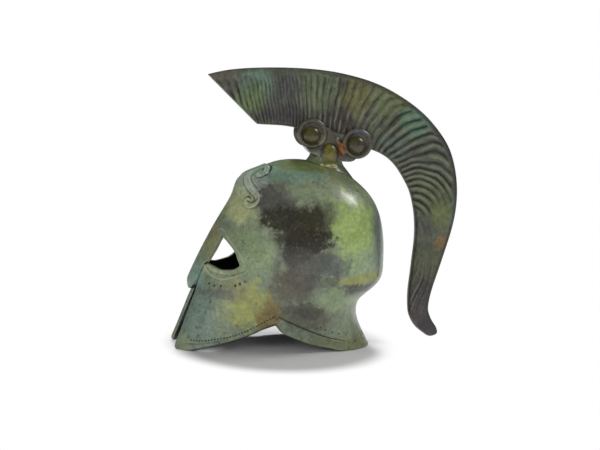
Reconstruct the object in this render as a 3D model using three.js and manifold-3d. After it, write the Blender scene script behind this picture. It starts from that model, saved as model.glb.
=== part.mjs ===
// Corinthian helmet with a crest, a small bronze casting. Millimetres, +Z up, standing on z = 0.
// The helmet faces -Y, and +X is the wearer's left.
import * as THREE from 'three';
import Module from 'manifold-3d';
import { mergeVertices } from 'three/addons/utils/BufferGeometryUtils.js';

const wasm = await Module();
wasm.setup();

// driving sizes
const wall = 2.6; // bronze of the bowl and its guards
const gap = 0.3; // clearance between two pieces
const crownY = -16.5; // top of the bowl
const floorCut = -5; // the bowl is skinned down to here before its rim is cut
const shellRows = 26;
const shellColumns = 48;
const liningRows = 20;
const liningColumns = 36;
const keelReach = 12; // half-width of the keel that runs down the nose guard
const keelRound = 2;
const crestStep = 46; // sections along the plume
const cheekFace = 8.4; // outer face of the holder's two side plates
const rivetY = 4; // the hidden rivet goes through the crown here
const rivet = { shank: 2.5, head: 5, headThick: 2.4, length: 13 };
const bossShank = 2;
const bossRings = {
  front: { y: -5, z: 148, bossY: -5.6, bossZ: 146.7, boss: 6, rise: 4.2, ring: 8.9 },
  rear: { y: 27, z: 141, bossY: 26.2, bossZ: 139.9, boss: 6, rise: 4.2, ring: 9.1 },
};
const ringBead = 1.6; // radius of the bead that makes a scroll ring
const acorn = { y: 7.5, z: 133.6, wide: 5.7, tall: 7.1, rise: 4.2 };

function table(names, rows) {
  return rows.map((row) => Object.fromEntries(names.map((name, i) => [name, row[i]])));
}

// level sections of the bowl and guards, from the crown down
const sections = table(['height', 'front', 'back', 'half', 'egg', 'square'], [
  [129.6, -16.5, -16.5, 0, 0, 0],
  [128.2, -29.0, -3.0, 12.0, -0.5, 0],
  [123.3, -41.6, 12.6, 24.5, -1.5, 0],
  [116.0, -55.3, 25.8, 34.0, -2.5, 0],
  [107.0, -58.5, 35.7, 41.0, -3.5, 0],
  [96.0, -63.6, 42.5, 46.0, -4.5, 0],
  [83.0, -70.1, 46.1, 49.0, -5.5, 0],
  [70.0, -76.2, 47.4, 50.0, -6.0, 0],
  [57.0, -81.9, 47.4, 49.3, -6.0, 0.5],
  [47.0, -85.7, 45.4, 47.8, -6.0, 1.0],
  [40.0, -88.3, 38.6, 46.3, -5.5, 1.5],
  [33.0, -91.3, 30.8, 44.8, -5.0, 2.0],
  [25.0, -94.8, 28.6, 43.3, -4.5, 2.5],
  [16.0, -98.9, 30.5, 42.0, -4.0, 3.0],
  [8.0, -102.6, 34.2, 40.8, -3.5, 3.5],
  [0.0, -106.4, 38.3, 40.0, -3.0, 4.0],
  [floorCut, -108.8, 40.6, 39.6, -3.0, 4.0],
]);

// how far the keel of the nose guard stands out, by height
const keel = table(['height', 'rise'], [
  [38.5, 0], [41, 1.8], [43, 3], [46.5, 4.5], [50, 4.4], [60, 3.7], [70, 3.2], [83, 2.4], [92, 1.5],
  [103, 0.6], [113, 0],
]);

// opening of the face, wearer's left half, seen from the front: nose guard, eye and cheek
const faceOpening = table(['x', 'z'], [
  [0, 39.3], [4, 40.2], [7.6, 43.2], [9.2, 48], [9.5, 54], [10.6, 58.4], [12.8, 61.5],
  [13.8, 69.3], [14.6, 78], [21.6, 73.7], [27.7, 68.2], [32.4, 59.6], [30.5, 57.4],
  [27.8, 56.4], [23.2, 56.5], [17.9, 58.1], [13, 59.4], [11.6, 57.4], [11, 50],
  [11.5, 42], [12.2, 34], [13.4, 24], [14.7, 12], [15.6, 3], [15.8, -9], [0, -9],
]);

// lower edge seen from the side, tip of the cheek guard to the back of the neck guard
const lowerEdge = table(['y', 'z'], [
  [-130, 3.4], [-101.4, 3.4], [-98.6, 0.6], [-96.5, 0], [-88, 0], [-83.4, 1.2], [-77.4, 2.7],
  [-69.3, 4.8], [-63.4, 6.6], [-55.7, 9.1], [-48.8, 12], [-42.3, 15], [-36.9, 17.4],
  [-33.4, 18.8], [-28.7, 13.6], [-24, 11], [-19.2, 8.9], [-13, 6.5], [-6.7, 4.5], [0, 2.9],
  [5.9, 1.6], [13, 0], [130, 0],
]);

// the crest from its square front to the end of its tail
const plume = table(['outerY', 'outerZ', 'innerY', 'innerZ', 'half'], [
  [-76.6, 187.6, -42.2, 153.7, 4.3],
  [-64, 190.5, -36.5, 153.4, 4.5],
  [-50, 192.1, -29.5, 153.1, 4.5],
  [-33.5, 192.8, -20, 152.2, 4.5],
  [-12.7, 192.6, -8, 149.8, 4.5],
  [8, 190.8, 5, 147.2, 4.5],
  [26, 187.2, 19, 143.4, 4.5],
  [42.6, 181.9, 33, 138.2, 4.5],
  [59.5, 173.2, 45.2, 133.6, 4.5],
  [75, 161.9, 55, 126, 4.5],
  [86.8, 149, 61.6, 116.5, 4.5],
  [95, 135.3, 66.4, 107.1, 4.5],
  [99.5, 117.8, 69.2, 96.5, 4.5],
  [100.3, 100.8, 70.6, 86, 4.5],
  [98, 84, 70.7, 73, 4.4],
  [93.2, 67, 69.4, 60, 4.3],
  [88.3, 51.5, 68.2, 48.5, 4.1],
  [83.9, 37.5, 66.9, 36.5, 3.9],
  [81.6, 26.1, 66.9, 25.5, 3.7],
  [82.2, 20, 68, 18.8, 3.5],
  [84.6, 14.7, 71, 12.8, 3.2],
  [87.7, 10, 75.2, 8.3, 2.9],
  [88.7, 6.2, 79.9, 5, 2.4],
  [87, 4.2, 82.4, 3.8, 1.8],
]);

// level sections of the holder's foot, which stands on the crown
const foot = table(['height', 'front', 'back', 'half'], [
  [114, -12, 24, 15],
  [123, -11, 20, 14],
  [126, -10, 18.2, 12.6],
  [129, -8.2, 17.8, 10.6],
  [132, -5.6, 19, 9.2],
  [134.5, -4.9, 22, 8.4],
  [138, -7.2, 26, cheekFace],
  [143, -12, 27, cheekFace],
  [147, -14, 27, cheekFace],
]);

function solid(geometry) {
  const merged = mergeVertices(new THREE.BufferGeometry()
    .setAttribute('position', geometry.getAttribute('position').clone())
    .setIndex(geometry.getIndex()), 1e-4);
  return new wasm.Manifold(new wasm.Mesh({
    numProp: 3,
    vertProperties: new Float32Array(merged.getAttribute('position').array),
    triVerts: new Uint32Array(merged.getIndex().array),
  }));
}

function geometryOf(body) {
  const mesh = body.getMesh();
  const geometry = new THREE.BufferGeometry();
  geometry.setAttribute('position', new THREE.BufferAttribute(mesh.vertProperties, 3));
  geometry.setIndex(new THREE.BufferAttribute(mesh.triVerts, 1));
  return geometry;
}

// a closed body skinned over rings of points that run counterclockwise seen from its last ring
function skin(rings) {
  const points = rings.flat();
  const count = rings[0].length;
  const index = [];
  for (let row = 0; row + 1 < rings.length; row++) {
    for (let i = 0; i < count; i++) {
      const j = (i + 1) % count;
      const a = row * count;
      index.push(a + i, a + j, a + count + j, a + i, a + count + j, a + count + i);
    }
  }
  for (const [row, flip] of [[0, true], [rings.length - 1, false]]) {
    const centre = new THREE.Vector3();
    rings[row].forEach((point) => centre.addScaledVector(point, 1 / count));
    points.push(centre);
    for (let i = 0; i < count; i++) {
      const pair = [row * count + i, row * count + ((i + 1) % count)];
      index.push(...(flip ? pair.reverse() : pair), points.length - 1);
    }
  }
  const geometry = new THREE.BufferGeometry().setFromPoints(points);
  geometry.setIndex(index);
  return geometry;
}

function smooth(rows, names, places) {
  return new THREE.CubicInterpolant(places, rows.flatMap((row) => names.map((name) => row[name])),
    names.length);
}

function read(interpolant, names, at) {
  const values = interpolant.evaluate(at);
  return Object.fromEntries(names.map((name, i) => [name, values[i]]));
}

// the bowl: the crown's next section is mirrored past the crown, so that the top is round
const shellNames = ['height', 'front', 'back', 'half', 'egg', 'square'];
const next = sections[1];
const pastCrown = {
  height: next.height, front: next.back, back: next.front, half: -next.half, egg: -next.egg, square: 0,
};
const shellSections = [pastCrown, ...sections];
const shellPlaces = [0];
shellSections.slice(1).forEach((row, i) => {
  const last = shellSections[i];
  const side = (Math.abs(row.front - last.front) + Math.abs(row.back - last.back)) / 2;
  shellPlaces.push(shellPlaces[i] + Math.hypot(row.height - last.height, side));
});
const crownPlace = shellPlaces[1];
const rimPlace = shellPlaces.at(-1);
const shellCurve = smooth(shellSections, shellNames, shellPlaces);
const keelCurve = new THREE.LinearInterpolant(keel.map((row) => row.height), keel.map((row) => row.rise), 1);

function bowlPoint(turn, place) {
  const row = read(shellCurve, shellNames, place);
  const x = row.half * Math.sin(turn) + row.egg * Math.sin(2 * turn) + row.square * Math.sin(3 * turn);
  const y = (row.front + row.back) / 2 - ((row.back - row.front) / 2) * Math.cos(turn);
  return new THREE.Vector3(x, y, row.height);
}

function bowlNormal(turn, place) {
  const step = 0.01;
  const at = Math.max(place, crownPlace + 1);
  const down = bowlPoint(turn, at + step).sub(bowlPoint(turn, at));
  const round = bowlPoint(turn + step, at).sub(bowlPoint(turn, at));
  return down.cross(round).normalize();
}

function keelAt(point) {
  if (point.y > crownY) return 0;
  const across = (Math.hypot(point.x, keelRound) - keelRound) / keelReach;
  return keelCurve.evaluate(point.z)[0] * Math.max(0, 1 - across) ** 1.5;
}

function bowl(rows, columns, offset, withKeel, below) {
  const rings = [];
  for (let row = 1; row <= rows; row++) {
    const place = THREE.MathUtils.lerp(crownPlace, rimPlace, row / rows);
    const ring = [];
    for (let i = 0; i < columns; i++) {
      const turn = (i / columns) * 2 * Math.PI;
      const point = bowlPoint(turn, place);
      if (withKeel) point.y -= keelAt(point);
      ring.push(point.addScaledVector(bowlNormal(turn, place), offset));
    }
    rings.push(ring);
  }
  rings.push(rings.at(-1).map((point) => new THREE.Vector3(point.x, point.y, floorCut - below)));
  const crown = new THREE.Vector3(0, crownY, sections[0].height + offset);
  rings.unshift(rings[0].map((point) => point.clone().lerp(crown, 0.98)));
  return solid(skin(rings.reverse()));
}

function outline(rows, across, up) {
  return rows.map((row) => new THREE.Vector2(row[across], row[up]));
}

// a flat outline in y and z, extruded along X from -half to half
function sideways(points, half) {
  const geometry = new THREE.ExtrudeGeometry(new THREE.Shape(points),
    { depth: 2 * half, bevelEnabled: false, curveSegments: 24 });
  const turned = new THREE.Matrix4().makeBasis(new THREE.Vector3(0, 1, 0),
    new THREE.Vector3(0, 0, 1), new THREE.Vector3(1, 0, 0));
  return solid(geometry.applyMatrix4(turned).translate(-half, 0, 0));
}

function forwards(points, from, to) {
  const geometry = new THREE.ExtrudeGeometry(new THREE.Shape(points),
    { depth: to - from, bevelEnabled: false });
  return solid(geometry.rotateX(Math.PI / 2).translate(0, to, 0));
}

// a body of revolution about X, from a profile of radius and reach
function turned(profile, y, z, segments = 20) {
  const geometry = new THREE.LatheGeometry(profile.map(([radius, reach]) => new THREE.Vector2(radius, reach)),
    segments);
  return solid(geometry.rotateZ(-Math.PI / 2).translate(0, y, z));
}

function crossPin(radius, half, y, z) {
  return turned([[0, -half], [radius, -half], [radius, half], [0, half]], y, z);
}

// places on the crown for the hidden rivet, which stands square to the bowl
function rivetPlace() {
  let place = crownPlace;
  while (bowlPoint(Math.PI, place).y < rivetY) place += 0.05;
  return { point: bowlPoint(Math.PI, place), normal: bowlNormal(Math.PI, place) };
}

function alongRivet(profile) {
  const { point, normal } = rivetPlace();
  const geometry = new THREE.LatheGeometry(profile.map(([radius, up]) => new THREE.Vector2(radius, up)), 20);
  const turn = new THREE.Quaternion().setFromUnitVectors(new THREE.Vector3(0, 1, 0), normal);
  return solid(geometry.applyQuaternion(turn).translate(point.x, point.y, point.z));
}

function makeShell() {
  const outer = bowl(shellRows, shellColumns, 0, true, 1);
  const inner = bowl(liningRows, liningColumns, -wall, false, 9);
  const left = outline(faceOpening, 'x', 'z');
  const right = left.slice(1, -1).reverse().map((point) => new THREE.Vector2(-point.x, point.y));
  const face = forwards([...left, ...right], -130, -45);
  const below = sideways([...outline(lowerEdge, 'y', 'z'), new THREE.Vector2(130, -20),
    new THREE.Vector2(-130, -20)], 60);
  const bore = alongRivet([[0, -9], [rivet.shank + gap, -9], [rivet.shank + gap, 9], [0, 9]]);
  return outer.subtract(inner).subtract(face).subtract(below).subtract(bore);
}

function plumeBody(grow) {
  const names = ['outerY', 'outerZ', 'innerY', 'innerZ', 'half'];
  const curve = smooth(plume, names, plume.map((row, i) => i));
  const rings = [];
  for (let step = 0; step <= crestStep; step++) {
    const row = read(curve, names, (step / crestStep) * (plume.length - 1));
    const inner = new THREE.Vector3(0, row.innerY, row.innerZ);
    const outer = new THREE.Vector3(0, row.outerY, row.outerZ);
    const across = outer.clone().sub(inner).normalize();
    inner.addScaledVector(across, -grow);
    outer.addScaledVector(across, grow);
    const half = row.half + grow;
    const edge = [[0, 0.62], [0.05, 0.92], [0.5, 1], [0.95, 1], [1, 0.86]];
    const side = edge.map(([t, share]) => inner.clone().lerp(outer, t).setX(-half * share));
    const other = side.map((point) => point.clone().setX(-point.x)).reverse();
    rings.push([...side, ...other]);
  }
  return solid(skin(rings));
}

function footBody() {
  const columns = 24;
  const rings = foot.map((row) => Array.from({ length: columns }, (_, i) => {
    const turn = (i / columns) * 2 * Math.PI;
    return new THREE.Vector3(row.half * Math.sin(turn),
      (row.front + row.back) / 2 + ((row.back - row.front) / 2) * Math.cos(turn), row.height);
  }));
  return solid(skin(rings.map((ring) => ring.reverse())));
}

function bead(ring, y, z) {
  const profile = [];
  for (let i = 0; i <= 8; i++) {
    const turn = (i / 8) * 2 * Math.PI;
    profile.push([ring + ringBead * Math.cos(turn), cheekFace + ringBead * Math.sin(turn) * 0.9]);
  }
  return turned(profile, y, z, 24);
}

function mirrored(body) {
  return body.mirror([1, 0, 0]);
}

function makeHolder() {
  const { front, rear } = bossRings;
  const bridge = sideways([[-13, 143], [-5, 134], [16, 128.5], [26, 129.6], [30, 143], [4, 156], [-8, 157]]
    .map(([y, z]) => new THREE.Vector2(y, z)), cheekFace);
  let body = footBody().add(bridge);
  for (const { y, z, ring } of [front, rear]) {
    body = body.add(crossPin(ring, cheekFace, y, z));
    const side = bead(ring, y, z);
    body = body.add(side).add(mirrored(side));
  }
  const nut = solid(new THREE.SphereGeometry(1, 16, 10)
    .scale(acorn.rise, acorn.wide, acorn.tall).translate(cheekFace, acorn.y, acorn.z));
  body = body.add(nut).add(mirrored(nut));
  body = body.subtract(plumeBody(gap)).subtract(bowl(shellRows, shellColumns, gap, false, 1));
  for (const { bossY, bossZ } of [front, rear]) {
    body = body.subtract(crossPin(bossShank + gap, 20, bossY, bossZ));
  }
  const socket = rivet.length + gap;
  return body.subtract(alongRivet([[0, -9], [rivet.shank + gap, -9], [rivet.shank + gap, socket], [0, socket]]));
}

function makePlume() {
  const { front, rear } = bossRings;
  return [front, rear].reduce((body, { bossY, bossZ }) => (
    body.subtract(crossPin(bossShank + gap, 20, bossY, bossZ))), plumeBody(0));
}

// one cross rivet through the holder's plates and the plume, with a round boss for each head
function makeBossRivet({ bossY, bossZ, boss, rise }) {
  const base = cheekFace + gap;
  const head = [[bossShank, base]];
  for (let i = 0; i <= 5; i++) {
    const turn = (i / 5) * (Math.PI / 2);
    head.push([i < 5 ? boss * Math.cos(turn) : 0, base + rise * Math.sin(turn)]);
  }
  return turned([...head.map(([radius, reach]) => [radius, -reach]).reverse(), ...head], bossY, bossZ);
}

function makeRivet() {
  const seat = -wall - 2 * gap; // the head is flat and the crown is round
  return alongRivet([[0, seat - rivet.headThick], [rivet.head * 0.8, seat - rivet.headThick],
    [rivet.head, seat - rivet.headThick * 0.4], [rivet.head, seat], [rivet.shank, seat],
    [rivet.shank, rivet.length], [0, rivet.length]]);
}

const patina = { roughness: 0.38, metalness: 0.75 };
const pieces = [
  ['helmet_shell', makeShell(), 0x5f6b48],
  ['crest_holder', makeHolder(), 0x4c4a35],
  ['crest_plume', makePlume(), 0x4e5540],
  ['front_boss_rivet', makeBossRivet(bossRings.front), 0x6a6330],
  ['rear_boss_rivet', makeBossRivet(bossRings.rear), 0x625a38],
  ['crest_rivet', makeRivet(), 0x5a5030],
];

const helmet = new THREE.Group();
for (const [name, body, color] of pieces) {
  const mesh = new THREE.Mesh(geometryOf(body), new THREE.MeshStandardMaterial({ color, ...patina }));
  mesh.name = name;
  helmet.add(mesh);
}

export default helmet;
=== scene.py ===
# Corinthian helmet with a crest, a small patinated bronze casting.
# Tables are in millimetres in the frame's own axes: the helmet faces -Y, +X is the wearer's left.
import math

import bpy
import numpy as np
from mathutils import Matrix, Vector, noise
from mathutils.geometry import delaunay_2d_cdt


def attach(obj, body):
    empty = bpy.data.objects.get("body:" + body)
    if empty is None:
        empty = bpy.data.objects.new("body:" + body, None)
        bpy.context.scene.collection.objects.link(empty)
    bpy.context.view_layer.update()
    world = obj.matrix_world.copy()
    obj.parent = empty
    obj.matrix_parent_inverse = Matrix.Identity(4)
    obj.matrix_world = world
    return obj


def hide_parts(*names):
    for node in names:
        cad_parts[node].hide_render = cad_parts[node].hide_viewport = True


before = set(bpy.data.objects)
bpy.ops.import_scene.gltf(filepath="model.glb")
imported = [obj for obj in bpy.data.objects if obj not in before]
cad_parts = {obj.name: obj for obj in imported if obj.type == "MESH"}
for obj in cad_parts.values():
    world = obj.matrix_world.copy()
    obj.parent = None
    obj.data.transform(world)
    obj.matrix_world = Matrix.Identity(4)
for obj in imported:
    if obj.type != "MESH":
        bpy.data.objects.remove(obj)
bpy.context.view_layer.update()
mm = 0.001


def naturalSpline(places, values):
    # a smooth curve through rows of values, read at any place
    places = np.asarray(places, float)
    values = np.asarray(values, float)
    count = len(places)
    step = np.diff(places)
    left = np.zeros((count, count))
    right = np.zeros_like(values)
    left[0, 0] = left[-1, -1] = 1
    for i in range(1, count - 1):
        left[i, i - 1:i + 2] = step[i - 1], 2 * (step[i - 1] + step[i]), step[i]
        right[i] = 6 * ((values[i + 1] - values[i]) / step[i] - (values[i] - values[i - 1]) / step[i - 1])
    bend = np.linalg.solve(left, right)

    def at(place):
        place = np.asarray(place, float)
        k = np.clip(np.searchsorted(places, place) - 1, 0, count - 2)
        width = step[k][..., None]
        a = (places[k + 1] - place)[..., None] / width
        b = 1 - a
        return (a * values[k] + b * values[k + 1]
                + ((a ** 3 - a) * bend[k] + (b ** 3 - b) * bend[k + 1]) * width ** 2 / 6)
    return at


def smoothPath(points, per=14):
    # Catmull-Rom through all columns of the points
    points = np.asarray(points, float)
    ends = np.vstack([2 * points[0] - points[1], points, 2 * points[-1] - points[-2]])
    t = np.linspace(0, 1, per, endpoint=False)[:, None]
    rows = []
    for i in range(len(points) - 1):
        a, b, c, d = ends[i:i + 4]
        rows.append(0.5 * (2 * b + (c - a) * t + (2 * a - 5 * b + 4 * c - d) * t ** 2
                           + (3 * b - a - 3 * c + d) * t ** 3))
    return np.vstack(rows + [points[-1:]])


def unit(vectors):
    return vectors / np.maximum(np.linalg.norm(vectors, axis=-1, keepdims=True), 1e-12)


def smoothStep(low, high, value):
    t = np.clip((value - low) / (high - low), 0, 1)
    return t * t * (3 - 2 * t)


def hump(value, width):
    return np.exp(-(value / width) ** 2)


def nearest(points, samples):
    gaps = np.empty(len(points))
    which = np.empty(len(points), int)
    for start in range(0, len(points), 1500):
        part = points[start:start + 1500]
        square = ((part[:, None, :] - samples[None, :, :]) ** 2).sum(2)
        which[start:start + 1500] = square.argmin(1)
        gaps[start:start + 1500] = np.sqrt(square.min(1))
    return gaps, which


def evenly(values, lengths, spacing):
    # rows of values resampled at even steps of the running length
    count = max(2, round(lengths[-1] / spacing) + 1)
    at = np.linspace(0, lengths[-1], count)
    return np.stack([np.interp(at, lengths, column) for column in values.T], 1)


def runningLength(points):
    return np.concatenate([[0], np.cumsum(np.linalg.norm(np.diff(points, axis=0), axis=1))])


def unevenness(points, size, seed):
    # soft random swell between -1 and 1, the same every run
    return np.array([noise.noise(Vector((x / size + seed, y / size - seed, z / size)))
                     for x, y, z in points])


def makeMesh(name, points, faces, attributes=None, material=None):
    mesh = bpy.data.meshes.new(name)
    mesh.from_pydata((np.asarray(points) * mm).tolist(), [], faces)
    mesh.validate()
    mesh.polygons.foreach_set("use_smooth", [True] * len(mesh.polygons))
    for key, values in (attributes or {}).items():
        layer = mesh.attributes.new(key, "FLOAT", "POINT")
        layer.data.foreach_set("value", np.asarray(values, np.float32))
    if material:
        mesh.materials.append(material)
    piece = bpy.data.objects.new(name, mesh)
    bpy.context.scene.collection.objects.link(piece)
    return piece


print("shell: surface")
shellSpec = {
    "wall": 2.6,
    # level sections from the crown down: height, front, back, half width, egg, square
    "sections": [
        (129.6, -16.5, -16.5, 0, 0, 0), (128.2, -29.0, -3.0, 12.0, -0.5, 0),
        (123.3, -41.6, 12.6, 24.5, -1.5, 0), (116.0, -55.3, 25.8, 34.0, -2.5, 0),
        (107.0, -58.5, 35.7, 41.0, -3.5, 0), (96.0, -63.6, 42.5, 46.0, -4.5, 0),
        (83.0, -70.1, 46.1, 49.0, -5.5, 0), (70.0, -76.2, 47.4, 50.0, -6.0, 0),
        (57.0, -81.9, 47.4, 49.3, -6.0, 0.5), (47.0, -85.7, 45.4, 47.8, -6.0, 1.0),
        (40.0, -88.3, 38.6, 46.3, -5.5, 1.5), (33.0, -91.3, 30.8, 44.8, -5.0, 2.0),
        (25.0, -94.8, 28.6, 43.3, -4.5, 2.5), (16.0, -98.9, 30.5, 42.0, -4.0, 3.0),
        (8.0, -102.6, 34.2, 40.8, -3.5, 3.5), (0.0, -106.4, 38.3, 40.0, -3.0, 4.0),
        (-5.0, -108.8, 40.6, 39.6, -3.0, 4.0),
    ],
    # keel of the nose guard: height, rise
    "keel": [(38.5, 0), (41, 1.8), (43, 3), (46.5, 4.5), (50, 4.4), (60, 3.7), (70, 3.2), (83, 2.4),
             (92, 1.5), (103, 0.6), (113, 0)],
    "keelReach": 12,
    "keelRound": 2,
    # edge of one half, in runs between sharp corners: turn in degrees, height, reach of the rim's bevel
    "outline": [
        [(0, 39.3, 0.7), (6, 40, 0.7), (11, 43, 0.6), (13.6, 47.5, 0.5), (14.3, 53, 0.5),
         (15.2, 57.5, 0.5), (18.2, 60.6, 0.5), (20.8, 69.3, 0.5), (22.2, 78, 0.6)],
        [(22.2, 78, 0.6), (32.9, 73.7, 0.6), (42.4, 68.2, 0.6), (50.3, 59.6, 0.7)],
        [(50.3, 59.6, 0.7), (47.1, 57.2, 0.8), (42.7, 56.4, 0.8), (35.3, 56.3, 0.8),
         (26.8, 58.1, 0.8), (18.6, 59.1, 0.7)],
        [(18.6, 59.1, 0.7), (17.2, 57, 0.6), (16.2, 50, 0.6), (16.8, 42, 0.6), (17.6, 34, 0.6),
         (19, 25, 0.6), (20.6, 13, 0.6), (21.6, 3.5, 0.6), (24, 0.6, 0.7), (28.1, 0, 0.8),
         (39.8, 0.3, 1.0), (46.4, 1.7, 1.2), (52.4, 2.8, 1.4), (59.8, 4.9, 1.6), (65, 6.6, 1.7),
         (71.6, 9.1, 1.8), (77.4, 11.9, 2.0), (82.9, 15.1, 2.3), (87.5, 17.3, 2.6), (90.7, 18.6, 2.6)],
        [(90.7, 18.6, 2.4), (94.8, 13.5, 1.3), (102.8, 8.9, 1.0), (113, 4.5, 0.9), (124, 1.9, 0.8),
         (132, 0, 0.8), (156, 0, 0.8), (180, 0, 0.8)],
    ],
    # section of the rim from the outer face to the lining: share of the reach, share of the wall
    "rim": [(0.12, 0.02), (0.3, 0.11), (0.55, 0.34), (0.8, 0.61), (0.97, 0.83), (1.0, 0.93),
            (0.93, 0.985), (0.72, 1.0)],
    # the right eye runs a little further back: turn, height, reach, shift
    "longerEye": (49, 60, 9, (-2.0, 4.2, 1.2)),
    "rimRows": [0.32, 0.68, 1.08, 1.5, 1.95, 2.4, 2.85, 3.3, 3.8, 4.3, 4.8, 5.4, 6.1],
    "rimStep": 0.5,
    "grain": 1.2,       # spacing of the plain mesh
    "fineGrain": 0.62,  # spacing around the brow scroll
    "liningGrain": 3.2,
    "rowStep": 0.5,     # spacing along the rows beside a stroke
    "strokeRows": [0, -0.6, 0.6, -1.2, 1.2],  # rows beside a stroke, in its widths
    "bandRows": [0, -0.45, 0.45, -1.1, 1.1, -1.6, 1.6, -2.1, 2.1, -2.6, 2.6],
    "punchRings": [(0.5, 6), (1.0, 9), (1.55, 12), (2.2, 12)],  # radius in the punch's own, points
    # random swell of the outer face and of the lining: amount, size, seed
    "swell": [(0.10, 17, 3.7), (0.035, 4.5, 8.1)],
    "liningSwell": (0.25, 6, 5.3),
}


def mirroredRows(rows):
    # two rows past the crown, so that the top comes out round
    past = rows[2:0:-1] * [1, 1, 1, -1, -1, -1]
    past[:, [1, 2]] = past[:, [2, 1]]
    return np.vstack([past, rows])


bowlRows = mirroredRows(np.array(shellSpec["sections"], float))
sideStep = 0.5 * (np.abs(np.diff(bowlRows[:, 1])) + np.abs(np.diff(bowlRows[:, 2])))
bowlPlaces = np.concatenate([[0], np.cumsum(np.hypot(np.diff(bowlRows[:, 0]), sideStep))])
bowlPlaces -= bowlPlaces[2]
bowlSection = naturalSpline(bowlPlaces, bowlRows)
finePlaces = np.linspace(0, bowlPlaces[-1], 1600)
fineHeights = bowlSection(finePlaces)[:, 0]
keelHeights = np.linspace(0, 130, 521)
keelRises = np.interp(keelHeights, *np.array(shellSpec["keel"]).T)
softener = hump(np.arange(-12, 13) * 0.25, 1.2)
keelRises = np.convolve(np.pad(keelRises, 12, "edge"), softener / softener.sum(), "valid")


def placeAt(height):
    return np.interp(-np.asarray(height, float), -fineHeights, finePlaces)


def bowlPoint(turn, place, keelShare=1.0):
    height, front, back, half, egg, square = bowlSection(place).T
    x = half * np.sin(turn) + egg * np.sin(2 * turn) + square * np.sin(3 * turn)
    y = (front + back) / 2 - (back - front) / 2 * np.cos(turn)
    roundOff = shellSpec["keelRound"]
    across = (np.hypot(x, roundOff) - roundOff) / shellSpec["keelReach"]
    keel = np.interp(height, keelHeights, keelRises) * np.clip(1 - across, 0, 1) ** 1.5
    return np.stack([x, y - keelShare * keel * (np.cos(turn) > 0), height], 1)


def bowlFrame(turn, place, keelShare=1.0):
    # directions around and down the bowl, and the way out of it
    at = np.maximum(place, 0.6)
    nudge = 2e-3
    around = (bowlPoint(turn + nudge, at, keelShare) - bowlPoint(turn - nudge, at, keelShare)) / (2 * nudge)
    down = (bowlPoint(turn, at + nudge, keelShare) - bowlPoint(turn, at - nudge, keelShare)) / (2 * nudge)
    return around, down, unit(np.cross(down, around))


def onBowl(path):
    # rows of turn in degrees and height, with anything after them, to points and the rest
    path = np.asarray(path, float)
    return bowlPoint(np.radians(path[:, 0]), placeAt(path[:, 1])), path[:, 2:]


def alongEdge(points):
    # direction of the edge, square to the middle plane at both ends
    along = unit(np.gradient(points, axis=0))
    along[0] = 1, 0, 0
    along[-1] = -1, 0, 0
    return along


def shiftEdge(turn, place, distance):
    # an edge moved into the metal by a distance along the surface
    around, down, normal = bowlFrame(turn, place)
    inward = unit(np.cross(normal, alongEdge(bowlPoint(turn, place))))
    a, b, c = (around * around).sum(1), (around * down).sum(1), (down * down).sum(1)
    p, q = (inward * around).sum(1), (inward * down).sum(1)
    area = a * c - b * b
    return turn + (c * p - b * q) / area * distance, place + (a * q - b * p) / area * distance


def makeEdge(spec):
    # inner line of the rim's bevel: turn, place and reach at even steps
    path = np.vstack([smoothPath(run)[(1 if i else 0):] for i, run in enumerate(spec["outline"])])
    edge = np.stack([np.radians(path[:, 0]), placeAt(path[:, 1]), path[:, 2]], 1)
    edge = evenly(edge, runningLength(bowlPoint(edge[:, 0], edge[:, 1])), 0.25)
    before = edge[8:0:-1] * [-1, 1, 1]
    after = edge[-2:-10:-1] * [-1, 1, 1] + [2 * math.pi, 0, 0]
    kernel = hump(np.arange(-8, 9) * 0.25, 0.62)
    padded = np.vstack([before, edge, after])
    edge = np.stack([np.convolve(column, kernel / kernel.sum(), "valid") for column in padded.T], 1)
    outer = bowlPoint(edge[:, 0], edge[:, 1])
    turn, place = shiftEdge(edge[:, 0], edge[:, 1], edge[:, 2])
    turn[0], turn[-1] = 0, math.pi
    gap, _ = nearest(bowlPoint(turn, place), outer)
    clear = gap > 0.95 * edge[:, 2]
    clear[0] = clear[-1] = True
    inner = np.stack([turn, place, edge[:, 2]], 1)[clear]
    inner = evenly(inner, runningLength(bowlPoint(inner[:, 0], inner[:, 1])), spec["rimStep"])
    inner[0, 0], inner[-1, 0] = 0, math.pi
    return inner


print("shell: edge")
edge = makeEdge(shellSpec)
edgeTurn, edgePlace, edgeReach = edge.T
edgePoints = bowlPoint(edgeTurn, edgePlace)

# the bowl unrolled about its crown without shearing, which the mesh is made in
halfTurn = np.linspace(0, math.pi, 60)
spread = np.array([np.linalg.norm(bowlFrame(halfTurn, np.full(60, place))[0], axis=1).mean()
                   for place in finePlaces[12:]])
spreadPlaces = finePlaces[12:]
slowing = 0.5 * (1 / spread[1:] + 1 / spread[:-1])
logRadius = np.concatenate([[0], np.cumsum(slowing * np.diff(spreadPlaces))])


def unroll(turn, place):
    radius = np.exp(np.interp(place, spreadPlaces, logRadius)) * np.minimum(place / spreadPlaces[0], 1)
    return np.stack([radius * np.cos(turn), radius * np.sin(turn)], 1)


def insideOf(points, outline):
    inside = np.zeros(len(points), bool)
    x, y = points.T
    x0, y0 = outline.T
    x1, y1 = np.roll(outline, -1, axis=0).T
    for start in range(0, len(points), 2000):
        px, py = x[start:start + 2000, None], y[start:start + 2000, None]
        spans = (y0 > py) != (y1 > py)
        with np.errstate(divide="ignore", invalid="ignore"):
            cross = px < (x1 - x0) * (py - y0) / (y1 - y0) + x0
        inside[start:start + 2000] = (spans & cross).sum(1) % 2 == 1
    return inside


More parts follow.
